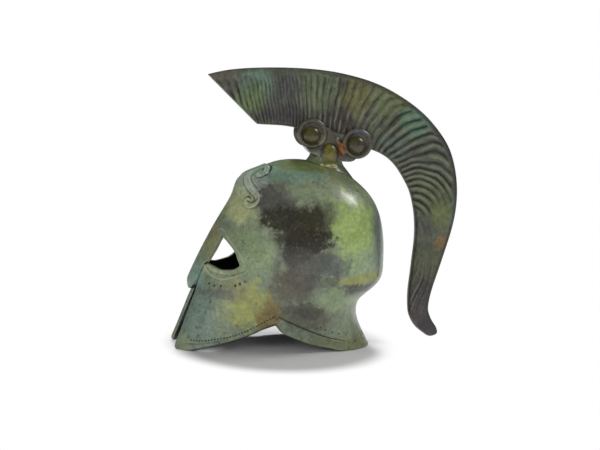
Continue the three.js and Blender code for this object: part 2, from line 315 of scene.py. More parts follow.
# raised and incised ornament: turn in degrees, height, strength; amount and width in mm
brow = {
    # the scroll's band: turn, height, half width
    "band": [(36.9, 103.4, 0.9), (35.3, 104.0, 1.0), (33.3, 103.3, 1.2), (33.2, 101.7, 1.4),
             (35.6, 100.4, 1.6), (38.8, 99.8, 1.8), (42.2, 100.0, 1.9), (44.8, 101.8, 1.9),
             (45.7, 104.4, 2.0), (44.3, 107.0, 2.1), (40.4, 109.4, 2.3), (35.0, 112.3, 2.4),
             (30.6, 114.6, 2.4), (25.8, 117.0, 2.5), (20.5, 119.6, 2.5), (15.5, 121.6, 2.5),
             (15.2, 123.4, 2.4), (21.5, 124.6, 2.3), (31.0, 124.0, 2.2), (39.5, 122.2, 2.0),
             (43.0, 120.5, 1.8), (40.5, 119.4, 1.5), (36.5, 119.4, 1.2), (34.5, 120.2, 1.0)],
    "rise": 0.75,
    "middle": 0.34,
    "beside": 0.42,
    "bead": 0.22,
}
strokes = [
    # hollows that deepen the two volutes
    {"path": [(45.2, 106.4, 0.2), (44.6, 104.2, 0.8), (43.5, 102.4, 1), (41.3, 101.0, 1), (38.5, 100.8, 0.8),
              (36, 101.6, 0.3)], "amount": -0.8, "width": 0.75},
    {"path": [(40, 118.5, 0.3), (44.6, 118.9, 0.9), (46.6, 120.4, 1), (44.6, 122.4, 1), (38, 124.2, 0.6),
              (30, 125.5, 0.3)], "amount": -0.75, "width": 0.8},
    {"path": [(31.0, 102.0, 0.4), (30.7, 103.3, 1), (32.5, 105.0, 1), (35.3, 105.4, 1), (37.2, 104.6, 0.4)],
     "amount": -0.55, "width": 0.6},
    {"path": [(44.9, 117.4, 0.2), (49.0, 118.4, 1), (51.0, 120.3, 1), (47.8, 122.9, 1), (38.3, 125.2, 0.3)],
     "amount": 0.25, "width": 0.7},
    # bright edge outside the lower volute
    {"path": [(38.6, 112.4, 0.3), (43.0, 110.3, 1), (46.6, 108.2, 1), (49.0, 105.1, 1), (48.4, 101.2, 1),
              (45.7, 98.3, 1), (42.1, 97.3, 1), (37.5, 97.9, 1), (33.2, 99.5, 0.8), (29.6, 102.0, 0.2)],
     "amount": 0.3, "width": 0.6},
    # border of the eye: its bead, the ditch outside it and the line cut along its lower half
    {"path": [(15.7, 58.4, 0.5), (18.6, 56.6, 1), (23.2, 54.3, 1), (31.3, 51.2, 1), (38.2, 49.8, 1),
              (43.5, 49.8, 1), (48.8, 51.2, 1), (53.5, 53.4, 1), (57.4, 56.4, 1), (57.2, 57.6, 1),
              (54.4, 60.6, 1), (50.1, 65.0, 1), (45.7, 68.9, 1), (39.1, 73.2, 1), (31.4, 77.6, 1),
              (25.0, 81.0, 1), (21.0, 82.4, 1), (16.5, 82.4, 0.9), (12.0, 80.5, 0.4)],
     "amount": 0.5, "width": 0.55, "name": "eyeBead"},
    {"path": [(18.6, 55.3, 0.5), (23.2, 53.0, 1), (31.3, 49.9, 1), (38.2, 48.5, 1), (43.5, 48.5, 1),
              (49.2, 49.9, 1), (54.3, 52.3, 1), (59.0, 56.4, 0.8), (58.6, 58.5, 0.5), (55.8, 61.6, 0.4),
              (47.0, 70.2, 0.4), (32.0, 79.0, 0.4)], "amount": -0.16, "width": 0.6},
    {"path": [(19.4, 57.4, 0.3), (22.0, 56.1, 1), (26.5, 54.6, 1), (34.2, 53.1, 1), (40.2, 52.6, 1),
              (46.4, 52.7, 1), (51.5, 54.2, 1), (55.2, 56.0, 0.5)], "amount": -0.42, "width": 0.42},
    {"path": [(48.6, 63.8, 0.4), (43.9, 67.6, 1), (37.4, 71.9, 1), (30.1, 75.7, 1), (24.3, 78.9, 0.5)],
     "amount": -0.22, "width": 0.4},
    # line above the rim of the cheek guard
    {"path": [(27, 5.0, 0), (36, 5.2, 1), (44.1, 5.2, 1), (50.8, 6.1, 1), (57, 7.2, 1), (62.8, 9, 0.9),
              (68.3, 11.2, 0.5), (74, 14.2, 0)], "amount": -0.32, "width": 0.42},
    # band around the neck guard: its line and the bead below that
    {"path": [(90.9, 25.9, 0.5), (92.4, 24.7, 0.9), (97.2, 22.4, 1), (101.8, 20.2, 1), (107.7, 17.2, 1),
              (113.5, 14.6, 1), (118.6, 12.2, 1), (124.3, 10.1, 1), (129.9, 8.3, 0.9), (137, 6.9, 0.45),
              (146, 6.0, 0)], "amount": -0.6, "width": 0.48},
    {"path": [(91.3, 24.3, 0.8), (97, 21.0, 1), (101.8, 18.9, 1), (107.7, 15.9, 1), (113.5, 13.3, 1),
              (118.6, 10.9, 1), (124.3, 8.9, 0.9), (130, 7.2, 0.7), (140, 5.4, 0)],
     "amount": 0.26, "width": 0.6},
]
eyeField = [(18.6, 56.6), (23.2, 54.3), (31.3, 51.2), (38.2, 49.8), (43.5, 49.8), (48.8, 51.2), (53.5, 53.4),
            (57.4, 56.4), (57.2, 57.6), (54.4, 60.6), (50.1, 65.0), (45.7, 68.9), (39.1, 73.2), (31.4, 77.6),
            (25.0, 81.0), (22.2, 79.5), (20.8, 69.3), (18.2, 60.6), (17, 58.4)]
# punched marks: turn, height, radius, depth, raised lip
punches = (
    [(t, z, 0.85, 0.8, 0.10) for t, z in [(30.9, 46.0), (36.5, 45.0), (42.3, 45.1), (52.8, 45.9),
                                          (55.3, 47.4)]]
    + [(47.5, 45.3, 0.7, 0.25, 0.05), (58.2, 49.1, 0.75, 0.55, 0.15)]
    + [(t, z, 0.6, 0.3, 0.3) for t, z in [(43.0, 75.8), (47.8, 72.7), (51.5, 69.2), (54.6, 65.1),
                                          (58.3, 62.0), (65.7, 53.4)]]
    + [(t, z, 0.55, 0.65, 0.16) for t, z in [(117.3, 17.2), (119.6, 18.0), (123.2, 15.7), (128.0, 14.0),
                                             (133.4, 12.4), (139.0, 11.2), (154.4, 9.3), (161.0, 8.7),
                                             (166.9, 8.2)]]
)
# rows of small punches: path, spacing, radius, depth, raised lip
punchRows = [
    ([(36.7, 7.5), (46.3, 7.4), (55, 8.8), (62.4, 10.2), (67, 11.9), (73.3, 15.0), (78.6, 18.2), (82.9, 21.2),
      (88.0, 25.0)], 2.15, 0.6, 0.6, 0.16),
    ([(25.2, 8), (24.0, 18), (22.6, 28), (21.2, 38), (20.6, 47)], 4.6, 0.6, 0.28, 0.05),
]
for path, spacing, radius, depth, lip in punchRows:
    line = smoothPath(path)
    for turn, height in evenly(line, runningLength(onBowl(line)[0]), spacing):
        punches.append((turn, height, radius, depth, lip))


def strokeLine(path):
    # the stroke as points on the bowl with its strength, at close steps
    points, strength = onBowl(smoothPath(path))
    lengths = runningLength(points)
    both = evenly(np.hstack([points, strength]), lengths, 0.2)
    return both[:, :3], both[:, 3]


def rowsBeside(path, offsets):
    # rows of mesh points that run along a stroke, so that its sides come out clean
    path = smoothPath(path)
    line = np.stack([np.radians(path[:, 0]), placeAt(path[:, 1])], 1)
    line = evenly(line, runningLength(bowlPoint(*line.T)), shellSpec["rowStep"])
    around, down, normal = bowlFrame(*line.T)
    aside = unit(np.cross(normal, unit(np.gradient(bowlPoint(*line.T), axis=0))))
    a, b, c = (around * around).sum(1), (around * down).sum(1), (down * down).sum(1)
    p, q = (aside * around).sum(1), (aside * down).sum(1)
    area = a * c - b * b
    rows = [np.stack([line[:, 0] + (c * p - b * q) / area * offset,
                      line[:, 1] + (a * q - b * p) / area * offset], 1) for offset in offsets]
    return np.vstack(rows)


def shellRelief(points, turn, place):
    # how far the ornament stands out of the plain surface, in mm
    rise = np.zeros(len(points))
    bandPoints, bandHalf = strokeLine(brow["band"])
    gap, which = nearest(points, bandPoints)
    across = gap / bandHalf[which]
    rise += brow["rise"] * (1 - smoothStep(0.72, 1.12, across))
    rise -= brow["middle"] * hump(gap, 0.38) * smoothStep(1.2, 1.9, bandHalf[which])
    rise += brow["bead"] * hump(gap - 0.68 * bandHalf[which], 0.38)
    rise -= brow["beside"] * hump(gap - 1.28 * bandHalf[which], 0.5)
    for stroke in strokes:
        line, strength = strokeLine(stroke["path"])
        gap, which = nearest(points, line)
        rise += stroke["amount"] * strength[which] * hump(gap, stroke["width"])
        if stroke.get("name") == "eyeBead":
            field = np.stack([np.degrees(turn), bowlSection(place)[:, 0]], 1)
            inside = insideOf(field, np.array(eyeField, float))
            rise += 0.15 * inside * smoothStep(0, 1.0, gap)
    for turnAt, height, radius, depth, lip in punches:
        centre, _ = onBowl([(turnAt, height)])
        gap = np.linalg.norm(points - centre, axis=1)
        rise += -depth * np.exp(-(gap / radius) ** 4) + lip * hump(gap - 1.55 * radius, 0.35)
    gap, _ = nearest(points, edgePoints)
    lowRim = smoothStep(40, 60, np.degrees(turn)) * smoothStep(60, 40, bowlSection(place)[:, 0])
    rise += 0.16 * hump(gap - 0.35, 0.35) * (0.4 + 0.6 * lowRim)
    return rise


def lattice(spacing):
    # evenly spread points over the half bowl, each row set half a step off the last
    rows = []
    fan = np.linspace(0, math.pi, 200)
    for i, place in enumerate(np.arange(spacing * 0.8, finePlaces[-1], spacing * 0.866)):
        lengths = runningLength(bowlPoint(fan, np.full(200, place)))
        count = max(3, round(lengths[-1] / spacing))
        turn = np.interp((np.arange(count) + 0.5 * (i % 2)) / count * lengths[-1], lengths, fan)
        rows.append(np.stack([turn, np.full(count, place)], 1))
    return np.vstack(rows)


def scrollZone(points):
    turn, height = np.degrees(points[:, 0]), bowlSection(points[:, 1])[:, 0]
    return (turn > 5) & (turn < 55) & (height > 95.5) & (height < 127.6)


def thinOut(groups, cell=1.3):
    # points of earlier groups stay, and later ones keep their group's distance to all
    cells, kept = {}, []
    for group, spacing, fixed in groups:
        points = bowlPoint(group[:, 0], group[:, 1])
        for own, point in zip(group, points.tolist()):
            x, y, z = (int(value // cell) for value in point)
            if not fixed:
                close = False
                for i in (x - 1, x, x + 1):
                    for j in (y - 1, y, y + 1):
                        for k in (z - 1, z, z + 1):
                            for other in cells.get((i, j, k), ()):
                                if math.dist(other, point) < spacing:
                                    close = True
                if close:
                    continue
            cells.setdefault((x, y, z), []).append(point)
            kept.append(own)
    return np.array(kept)


def triangulate(border, inner):
    # triangles inside the border; the border's points come first
    flat = unroll(*np.vstack([border, inner]).T)
    count = len(border)
    loop = [(i, (i + 1) % count) for i in range(count)]
    _, _, faces, origins, _, _ = delaunay_2d_cdt([Vector(p) for p in flat.tolist()], loop, [], 1, 1e-7)
    name = [own[0] if own else -1 for own in origins]
    triangles = [tuple(name[i] for i in face) for face in faces]
    return [t for t in triangles if -1 not in t and len(set(t)) == 3]


def seam(turn, start, spacing):
    # points along the middle plane, from the edge up to the crown
    places = np.linspace(start, 0, round(start / spacing) + 1)[1:-1]
    return np.stack([np.full(len(places), turn), places], 1)


def halfBorder(spacing):
    front = seam(0.0, edgePlace[0], spacing)[::-1]
    back = seam(math.pi, edgePlace[-1], spacing)
    return np.vstack([edge[:, :2], back, [[0, 0]], front])


print("shell: outer face")
border = halfBorder(shellSpec["grain"])
borderFlat = unroll(*border.T)
rimRows = []
for i, distance in enumerate(shellSpec["rimRows"]):
    turn, place = shiftEdge(edgeTurn, edgePlace, distance)
    gap, _ = nearest(bowlPoint(turn, place), edgePoints)
    row = np.stack([turn, place], 1)[gap > 0.93 * distance]
    rimRows.append(row if i < 3 else row[i % 2::2])
strokeRows = [rowsBeside([p[:2] for p in stroke["path"]],
                         np.array(shellSpec["strokeRows"]) * stroke["width"]) for stroke in strokes]
bandRows = rowsBeside([p[:2] for p in brow["band"]], shellSpec["bandRows"])
punchPoints = []
for turnAt, height, radius, _, _ in punches:
    turn, place = math.radians(turnAt), float(placeAt(height))
    around, down, _ = bowlFrame(np.array([turn]), np.array([place]))
    acrossSize, downSize = np.linalg.norm(around), np.linalg.norm(down)
    punchPoints.append((turn, place))
    for ring, count in shellSpec["punchRings"]:
        for k in range(count):
            angle = 2 * math.pi * (k + 0.5 * ring) / count
            punchPoints.append((turn + ring * radius * math.cos(angle) / acrossSize,
                                place + ring * radius * math.sin(angle) / downSize))
plain = lattice(shellSpec["grain"])
plain = plain[~scrollZone(plain)]
fine = lattice(shellSpec["fineGrain"])
fine = fine[scrollZone(fine)]
inner = [(border, 0, True), (np.array(punchPoints), 0.2, False), (np.vstack(rimRows), 0.27, False),
         (np.vstack(strokeRows), 0.27, False), (bandRows, 0.27, False), (fine, 0.42, False),
         (plain, 0.72, False)]
inner = [(group if fixed else group[insideOf(unroll(*group.T), borderFlat)], spacing, fixed)
         for group, spacing, fixed in inner]
outerGrid = thinOut(inner)[len(border):]
seamGap = np.abs(bowlPoint(*outerGrid.T)[:, 0])
outerGrid = outerGrid[seamGap > 0.3]
outerFaces = triangulate(border, outerGrid)
outerGrid = np.vstack([border, outerGrid])
outerBase = bowlPoint(*outerGrid.T)
_, _, outerNormal = bowlFrame(*outerGrid.T)
outerNormal[np.abs(outerBase[:, 0]) < 1e-6, 0] = 0
outerNormal = unit(outerNormal)
relief = shellRelief(outerBase, *outerGrid.T)
swell = sum(amount * unevenness(outerBase, size, seed) for amount, size, seed in shellSpec["swell"])
outerPoints = outerBase + outerNormal * (relief + swell)[:, None]

print("shell: lining and rim")
liningBorder = halfBorder(shellSpec["liningGrain"])
liningGrid = lattice(shellSpec["liningGrain"])
liningGrid = liningGrid[insideOf(unroll(*liningGrid.T), unroll(*liningBorder.T))]
liningGrid = thinOut([(liningBorder, 0, True), (liningGrid, 1.5, False)], 2.5)[len(liningBorder):]
liningGrid = liningGrid[np.abs(bowlPoint(*liningGrid.T)[:, 0]) > 0.9]
liningFaces = triangulate(liningBorder, liningGrid)
liningGrid = np.vstack([liningBorder, liningGrid])
liningBase = bowlPoint(*liningGrid.T, 0.6)
_, _, liningNormal = bowlFrame(*liningGrid.T, 0.6)
liningNormal[np.abs(liningBase[:, 0]) < 1e-6, 0] = 0
liningSwell = shellSpec["liningSwell"][0] * unevenness(liningBase, *shellSpec["liningSwell"][1:])
liningPoints = liningBase - unit(liningNormal) * (shellSpec["wall"] + liningSwell)[:, None]

edgeCount = len(edge)
_, _, edgeNormal = bowlFrame(edgeTurn, edgePlace)
edgeOut = -unit(np.cross(edgeNormal, alongEdge(edgePoints)))
edgeDepth = liningPoints[:edgeCount] - outerPoints[:edgeCount]
rimPoints = [outerPoints[:edgeCount] + edgeOut * (edgeReach * out)[:, None] + edgeDepth * deep
             for out, deep in shellSpec["rim"]]


def joinShell():
    # both halves of the outer face, the lining and the rim strips as one closed mesh; the second attribute
    # is 1 on the lining and on the rim faces that turn down, which get the dark inside colour as painted shade
    half = np.vstack([outerPoints] + rimPoints + [liningPoints])
    half[:, 2] = np.maximum(half[:, 2], 0)
    middle = np.abs(half[:, 0]) < 1e-6
    half[middle, 0] = 0
    liningStart = len(outerPoints) + len(rimPoints) * edgeCount
    faces = list(outerFaces) + [tuple(liningStart + i for i in face[::-1]) for face in liningFaces]
    starts = [0] + [len(outerPoints) + k * edgeCount for k in range(len(rimPoints))] + [liningStart]
    for a, b in zip(starts, starts[1:]):
        faces += [(a + i, b + i, b + i + 1, a + i + 1) for i in range(edgeCount - 1)]
    other = np.arange(len(half))
    other[~middle] = len(half) + np.arange((~middle).sum())
    far = half[~middle] * [-1, 1, 1]
    centre, _ = onBowl([shellSpec["longerEye"][:2]])
    pull = hump(np.linalg.norm(far - centre * [-1, 1, 1], axis=1), shellSpec["longerEye"][2])
    far += pull[:, None] * shellSpec["longerEye"][3]
    points = np.vstack([half, far])
    faces += [tuple(int(other[i]) for i in face[::-1]) for face in faces]
    ornament = np.zeros(len(half))
    ornament[:len(relief)] = relief
    lining = np.zeros(len(half))
    lining[liningStart:] = 1
    # painted shade: rim faces that turn down are marked for the dark inside colour, as if in shadow
    downward = smoothStep(-0.35, -0.75, edgeOut[:, 2])
    for k, (_, deep) in enumerate(shellSpec["rim"]):
        start = len(outerPoints) + k * edgeCount
        lining[start:start + edgeCount] = np.maximum(deep > 0.95, downward * smoothStep(0.02, 0.2, deep))
    both = [np.concatenate([values, values[~middle]]) for values in (ornament, lining)]
    return points, faces, {"ornament": both[0], "lining": both[1]}


print("plume")
plumeSpec = {
    # from the front to the tip of the tail: outer y and z, inner y and z, half thickness
    "rows": [
        (-76.6, 187.6, -42.2, 153.7, 4.3), (-64, 190.5, -36.5, 153.4, 4.5), (-50, 192.1, -29.5, 153.1, 4.5),
        (-33.5, 192.8, -20, 152.2, 4.5), (-12.7, 192.6, -8, 149.8, 4.5), (8, 190.8, 5, 147.2, 4.5),
        (26, 187.2, 19, 143.4, 4.5), (42.6, 181.9, 33, 138.2, 4.5), (59.5, 173.2, 45.2, 133.6, 4.5),
        (75, 161.9, 55, 126, 4.5), (86.8, 149, 61.6, 116.5, 4.5), (95, 135.3, 66.4, 107.1, 4.5),
        (99.5, 117.8, 69.2, 96.5, 4.5), (100.3, 100.8, 70.6, 86, 4.5), (98, 84, 70.7, 73, 4.5),
        (93.2, 67, 69.4, 60, 4.5), (88.3, 51.5, 68.2, 48.5, 4.4), (83.9, 37.5, 66.9, 36.5, 4.2),
        (81.6, 26.1, 66.9, 25.5, 3.9), (82.2, 20, 68, 18.8, 3.7), (84.6, 14.7, 71, 12.8, 3.4),
        (87.7, 10, 75.2, 8.3, 3.1), (88.8, 6.3, 79.8, 4.9, 2.7), (88.2, 4.0, 82.6, 2.6, 2.2),
    ],
    "corner": 0.9,        # rounding along the top
    "innerRound": 2.4,    # rounding along the inside of the curve
    "tip": 22.2,          # row where the tail starts to close
    # how the ribs lean: row, then the row each one starts from at five heights, inner edge to outer
    "lean": [
        (0, 0, -0.35, -0.7, -1, -1.2), (1, 1, 0.45, 0.05, -0.3, -0.5), (2, 2, 1.5, 1.15, 0.7, 0.55),
        (3.5, 3.5, 3.3, 3.25, 3.15, 3.1), (5, 5, 4.95, 4.95, 4.9, 4.9), (7, 7, 6.95, 6.8, 6.6, 6.4),
        (8, 8, 7.75, 7.5, 7.3, 6.95), (9, 9, 8.57, 8.25, 7.9, 7.6), (10, 10, 9.5, 9, 8.7, 8.15),
        (11, 11, 10.5, 9.65, 9.2, 8.7), (12, 12, 11.3, 10.6, 9.75, 9.2), (13, 13, 11.95, 11.1, 10.3, 9.6),
        (14, 13.9, 12.75, 11.6, 10.8, 10), (15, 14.3, 13.6, 12, 11.4, 10.4),
        (16, 14.2, 13.7, 12.8, 11.7, 10.7), (17, 13.8, 13.2, 12.6, 11.7, 10.8),
        (18, 13.1, 12.6, 11.8, 11.2, 10.6), (19, 12.6, 12.2, 11.4, 10.9, 10.4),
        (20, 12.2, 11.8, 11.2, 10.7, 10.2), (22, 11.9, 11.5, 11, 10.6, 10.2), (23, 11.8, 11.4, 11, 10.6, 10.2),
    ],
    # ribs counted from the front at each row
    "ribs": [0, 3.1, 6.4, 10.7, 16, 20, 23.8, 27.5, 31, 34.2, 37.2, 39.8, 42.1, 44.1, 45.9, 47.4],
    "frontRibs": 3.3,     # ribs a row before the first
    # how deep the grooves between the ribs are at each row
    "grooves": [(0, 0.6), (1.5, 0.6), (2.6, 0.38), (3.6, 0.45), (4.4, 0.7), (7, 0.75), (9.5, 1.15),
                (12, 1.1), (13, 0.4), (13.8, 0.18), (14.6, 0.3), (15.5, 0.5), (17.5, 0.5), (19.5, 0.3),
                (21.3, 0)],
    # how wide the grooves are beside the ridges
    "roundness": [(0, 2.4), (3, 2), (4.3, 1.1), (8, 1.1), (9.5, 1.4), (12.5, 1.3), (14, 1), (20, 1.2)],
    # plain border under the top edge: row, where the grooves start and where they are full
    "margin": [(0, 3, 9), (2, 3.4, 10), (3.6, 2.4, 7), (4.6, 1.5, 4), (8, 1.5, 4), (10, 1.8, 5),
               (23, 1.8, 5)],
    "border": [(0, 0.08), (3, 0.1), (6, 0.4), (12, 0.45), (16, 0.3), (22, 0.1)],  # darker along the top
    "frontBevel": 0.45,
    "sideRows": 57,
    "perRib": 11,
}
plumeLine = naturalSpline(range(len(plumeSpec["rows"])), plumeSpec["rows"])
leanAt = naturalSpline([row[0] for row in plumeSpec["lean"]], [row[1:] for row in plumeSpec["lean"]])
ribsAt = naturalSpline(range(16), [[count] for count in plumeSpec["ribs"]])
lastRow = len(plumeSpec["rows"]) - 1


def ribCount(row, height):
    # which rib passes a point, for a row and shares of the way from the inner edge to the outer
    lean = naturalSpline([0, 0.25, 0.5, 0.75, 1], leanAt(row)[:, None])(height)[:, 0]
    return np.where(lean < 0, lean * plumeSpec["frontRibs"], ribsAt(np.maximum(lean, 0))[:, 0])


def plumeRows():
    # closer rows where ribs cross, and wider ones along the tail
    steps = np.linspace(0, 15, 1501)
    ribs = np.array([ribCount(row, np.array([0.5]))[0] for row in steps])
    spacing = np.maximum.accumulate(ribs)
    crossing = np.interp(np.arange(spacing[0], spacing[-1], 1 / plumeSpec["perRib"]), spacing, steps)
    crossing = crossing[crossing < 13.2]
    tail = np.arange(crossing[-1] + 0.055, plumeSpec["tip"], 0.055)
    close = 1 - np.cos(np.linspace(0, math.pi / 2, 9))[1:]
    tip = plumeSpec["tip"] + (lastRow - plumeSpec["tip"]) * (1 - close[::-1][1:])
    return np.concatenate([[0, 0.012, 0.03], crossing[crossing > 0.05], tail, tip, [lastRow]])


def plumeRing(row):
    # one section as depth in mm from the outer edge and x, one side only, from the top middle down
    outerY, outerZ, innerY, innerZ, half = plumeLine(row)
    width = math.hypot(outerY - innerY, outerZ - innerZ)
    corner = min(plumeSpec["corner"], 0.4 * half)
    innerRound = min(plumeSpec["innerRound"], 0.45 * width)
    turn = np.linspace(0, math.pi / 2, 4)
    top = np.stack([np.zeros(3), np.array([0, 0.34, 0.68]) * (half - corner)], 1)
    bend = np.stack([corner * (1 - np.cos(turn)), half - corner + corner * np.sin(turn)], 1)
    side = np.linspace(corner, width - innerRound, plumeSpec["sideRows"])[1:-1]
    side = np.stack([side, np.full(len(side), half)], 1)
    turn = np.linspace(0, math.pi / 2, 7)
    inner = np.stack([width - innerRound + innerRound * np.sin(turn), half * np.cos(turn)], 1)
    ring = np.vstack([top, bend, side, inner])

    depth = ring[:, 0]
    count = ribCount(row, 1 - depth / width)
    count = count + np.array([0.2 * noise.noise(Vector((row * 0.9, d / 16, 2.7)))
                              + 0.07 * noise.noise(Vector((row * 4, d / 4, 6.2))) for d in depth])
    which = np.round(count)
    groove = 1 - np.abs(np.sin(math.pi * count)) ** np.interp(row, *np.array(plumeSpec["roundness"]).T)
    own = np.array([noise.noise(Vector((n * 3.3, d / 60, 9.1))) for n, d in zip(which, depth)])
    along = np.array([noise.noise(Vector((n * 5.7, d / 7, 1.3))) for n, d in zip(which, depth)])
    strength = np.interp(row, *np.array(plumeSpec["grooves"]).T) * (1 + 0.5 * own + 0.5 * along)
    strength *= 1 - smoothStep(13.2, 15, row) * (which % 2) * 0.8
    margins = np.array(plumeSpec["margin"]).T
    start = np.interp(row, margins[0], margins[1]) + 1.6 * (own + 0.3)
    inBody = smoothStep(start, np.interp(row, margins[0], margins[2]) + 2 * own, depth)
    inBody *= 1 - 0.6 * smoothStep(width - innerRound, width, depth)
    inBody *= smoothStep(-0.02, 0.3, row)
    strength = np.maximum(strength, 0) * inBody
    split = hump((count - np.floor(count) - 0.5), 0.1) * inBody * smoothStep(-0.1, 0.3, along) \
        * np.interp(row, [0, 9, 14, 16], [0.22, 0.16, 0.1, 0])
    ditch = np.interp(row, [3, 5, 17, 21], [0, 0.2, 0.2, 0]) * hump(depth - 2.3, 0.5)
    sink = strength * groove + split + ditch
    ring[:, 1] -= np.minimum(sink, 0.6 * half) * smoothStep(0, 0.8, ring[:, 1] / half)
    hair = np.array([noise.noise(Vector((n * 2.3, d / 9, row * 0.05))) for n, d in zip(count, depth)])
    # painted light and shade of the rounded ribs: ridge tops lighter and grooves darker, partly patina in the
    # hollows; with noise for the hair and a darker band along the top
    shade = strength * (0.5 - 1.15 * groove) - 1.2 * split - ditch + 0.35 * hair * inBody
    shade -= np.interp(row, *np.array(plumeSpec["border"]).T) * smoothStep(3.4, 1.2, depth)
    past = max(0, row - plumeSpec["tip"]) / (lastRow - plumeSpec["tip"])
    closing = max(0.04, math.sqrt(max(0, 1 - past ** 2)))
    bevel = plumeSpec["frontBevel"] * max(0, 1 - row / 0.03)
    ring[:, 1] *= closing * (1 - bevel / half)
    ring[:, 0] = width / 2 + (ring[:, 0] - width / 2) * closing * (1 - 2 * bevel / width)
    along = ring[:, 0] / width
    y = outerY + (innerY - outerY) * along
    z = outerZ + (innerZ - outerZ) * along
    return np.stack([ring[:, 1], y, z], 1), shade


def makePlume():
    rings, shades = [], []
    for row in plumeRows():
        side, shade = plumeRing(row)
        other = side[-2:0:-1] * [-1, 1, 1]
        rings.append(np.vstack([side, other]))
        shades.append(np.concatenate([shade, shade[-2:0:-1]]))
    size = len(rings[0])
    faces = []
    for k in range(len(rings) - 1):
        a, b = k * size, (k + 1) * size
        faces += [(a + i, a + (i + 1) % size, b + (i + 1) % size, b + i) for i in range(size)]
    half = size // 2
    for start, flip in ((0, True), ((len(rings) - 1) * size, False)):
        for i in range(half):
            cap = [start + i, start + i + 1, start + (size - i - 1) % size, start + (size - i) % size]
            cap = list(dict.fromkeys(cap))
            faces.append(tuple(cap[::-1] if flip else cap))
    return np.vstack(rings), faces, {"ornament": np.concatenate(shades)}


print("holder")
holderSpec = {
    "cheekFace": 8.4,     # outer face of the two side plates
    # level sections of the foot: height, front, back, half width
    "foot": [(112, -16, 29, 20), (118, -12.6, 24.5, 16.2), (122.5, -11.2, 21, 13.9), (126, -9.6, 18.4, 12.2),
             (129, -7.6, 17.7, 10.7), (132, -5.4, 18.6, 9.6), (135, -5.2, 21.6, 8.8), (139, -7.8, 25, 8.4),
             (143, -12, 27, 8.4), (147, -13, 26, 8.0)],
    # side outline of the saddle between the two rings: y, z
    "saddle": [(-12.5, 143), (-5, 134), (4, 131), (16, 128.6), (26, 129.8), (30, 143), (18, 147.0),
               (10, 149.4), (3, 152)],
    "rings": [{"y": -5, "z": 148, "radius": 8.9}, {"y": 27, "z": 141, "radius": 9.1}],
    "bead": 1.6,
    "innerBead": 0.55,
    # cast ornament on each plate: centre x, y, z, then half sizes in x, y, z and lean in degrees
    "lumps": {
        "acorn": (8.4, 7.5, 133.6, 4.2, 5.7, 7.1, 0),
        "leaf": (8.2, 16.0, 137.3, 2.7, 2.7, 5.0, 18),
        "leafTip": (8.2, 13.0, 142.5, 1.7, 1.7, 3.6, 28),
        "stem": (8.3, 1.8, 143.6, 1.5, 0.9, 3.4, -38),
        "granuleA": (13.1, 1.4, 126.6, 1.5, 1.4, 1.3, 0),
        "granuleB": (14.2, 5.6, 125.9, 1.5, 1.4, 1.3, 0),
        "granuleC": (13.4, 10.2, 125.0, 1.4, 1.3, 1.2, 0),
    },
    "gap": 0.3,
    "grain": 0.36,
    "softening": 3,
}


def tube(rings):
    # rings of points joined side to side and closed at both ends
    size = len(rings[0])
    faces = [tuple(range(size))[::-1], tuple(range((len(rings) - 1) * size, len(rings) * size))]
    for k in range(len(rings) - 1):
        a, b = k * size, (k + 1) * size
        faces += [(a + i, a + (i + 1) % size, b + (i + 1) % size, b + i) for i in range(size)]
    return np.vstack(rings), faces


def turnedAcross(profile, y, z, count=64):
    # a profile of radius and reach turned about a line along X
    turn = np.arange(count) / count * 2 * math.pi
    rings = [np.stack([np.full(count, reach), y + radius * np.cos(turn), z + radius * np.sin(turn)], 1)
             for radius, reach in profile]
    return tube(rings)


def footRings(spec):
    turn = np.arange(72) / 72 * 2 * math.pi
    rows = naturalSpline([row[0] for row in spec["foot"]], spec["foot"])
    rings = []
    for height, front, back, half in rows(np.linspace(spec["foot"][0][0], spec["foot"][-1][0], 50)):
        middle, reach = (front + back) / 2, (back - front) / 2
        rings.append(np.stack([half * np.sin(turn), middle + reach * np.cos(turn), np.full(72, height)], 1))
    return tube([ring[::-1] for ring in rings])


def saddleRings(spec):
    outline = smoothPath(spec["saddle"] + spec["saddle"][:1], 6)[:-1]
    half = spec["cheekFace"]
    shares = [(-1, 0.955), (-0.97, 0.99), (-0.9, 1), (0.9, 1), (0.97, 0.99), (1, 0.955)]
    middle = outline.mean(0)
    rings = [np.column_stack([np.full(len(outline), half * at), middle + (outline - middle) * size])
             for at, size in shares]
    return tube(rings)


def torus(x, y, z, radius, bead):
    turn = np.arange(96) / 96 * 2 * math.pi
    around = np.arange(16) / 16 * 2 * math.pi
    points = np.array([[x + bead * math.sin(b), y + (radius + bead * math.cos(b)) * math.cos(a),
                        z + (radius + bead * math.cos(b)) * math.sin(a)] for a in turn for b in around])
    faces = [(i * 16 + j, (i + 1) % 96 * 16 + j, (i + 1) % 96 * 16 + (j + 1) % 16, i * 16 + (j + 1) % 16)
             for i in range(96) for j in range(16)]
    return points, faces


def ellipsoid(x, y, z, reachX, reachY, reachZ, lean):
    turn = np.arange(28) / 28 * 2 * math.pi
    tilt = math.radians(lean)
    rings = []
    for rise in np.linspace(-0.5, 0.5, 19)[1:-1] * math.pi:
        ring = np.stack([reachX * math.cos(rise) * np.cos(turn), reachY * math.cos(rise) * np.sin(turn),
                         np.full(28, reachZ * math.sin(rise))], 1)
        rings.append(ring)
    points, faces = tube(rings)
    across = points[:, 1] * math.cos(tilt) - points[:, 2] * math.sin(tilt)
    up = points[:, 1] * math.sin(tilt) + points[:, 2] * math.cos(tilt)
    return np.stack([points[:, 0] + x, across + y, up + z], 1), faces


def joined(parts):
    points, faces, start = [], [], 0
    for part, shape in parts:
        points.append(part)
        faces += [tuple(start + i for i in face) for face in shape]
        start += len(part)
    return np.vstack(points), faces


def baked(piece):
    # the piece with its modifiers made final
    bpy.context.view_layer.update()
    graph = bpy.context.evaluated_depsgraph_get()
    mesh = bpy.data.meshes.new_from_object(piece.evaluated_get(graph))
    piece.modifiers.clear()
    piece.data = mesh
    return piece


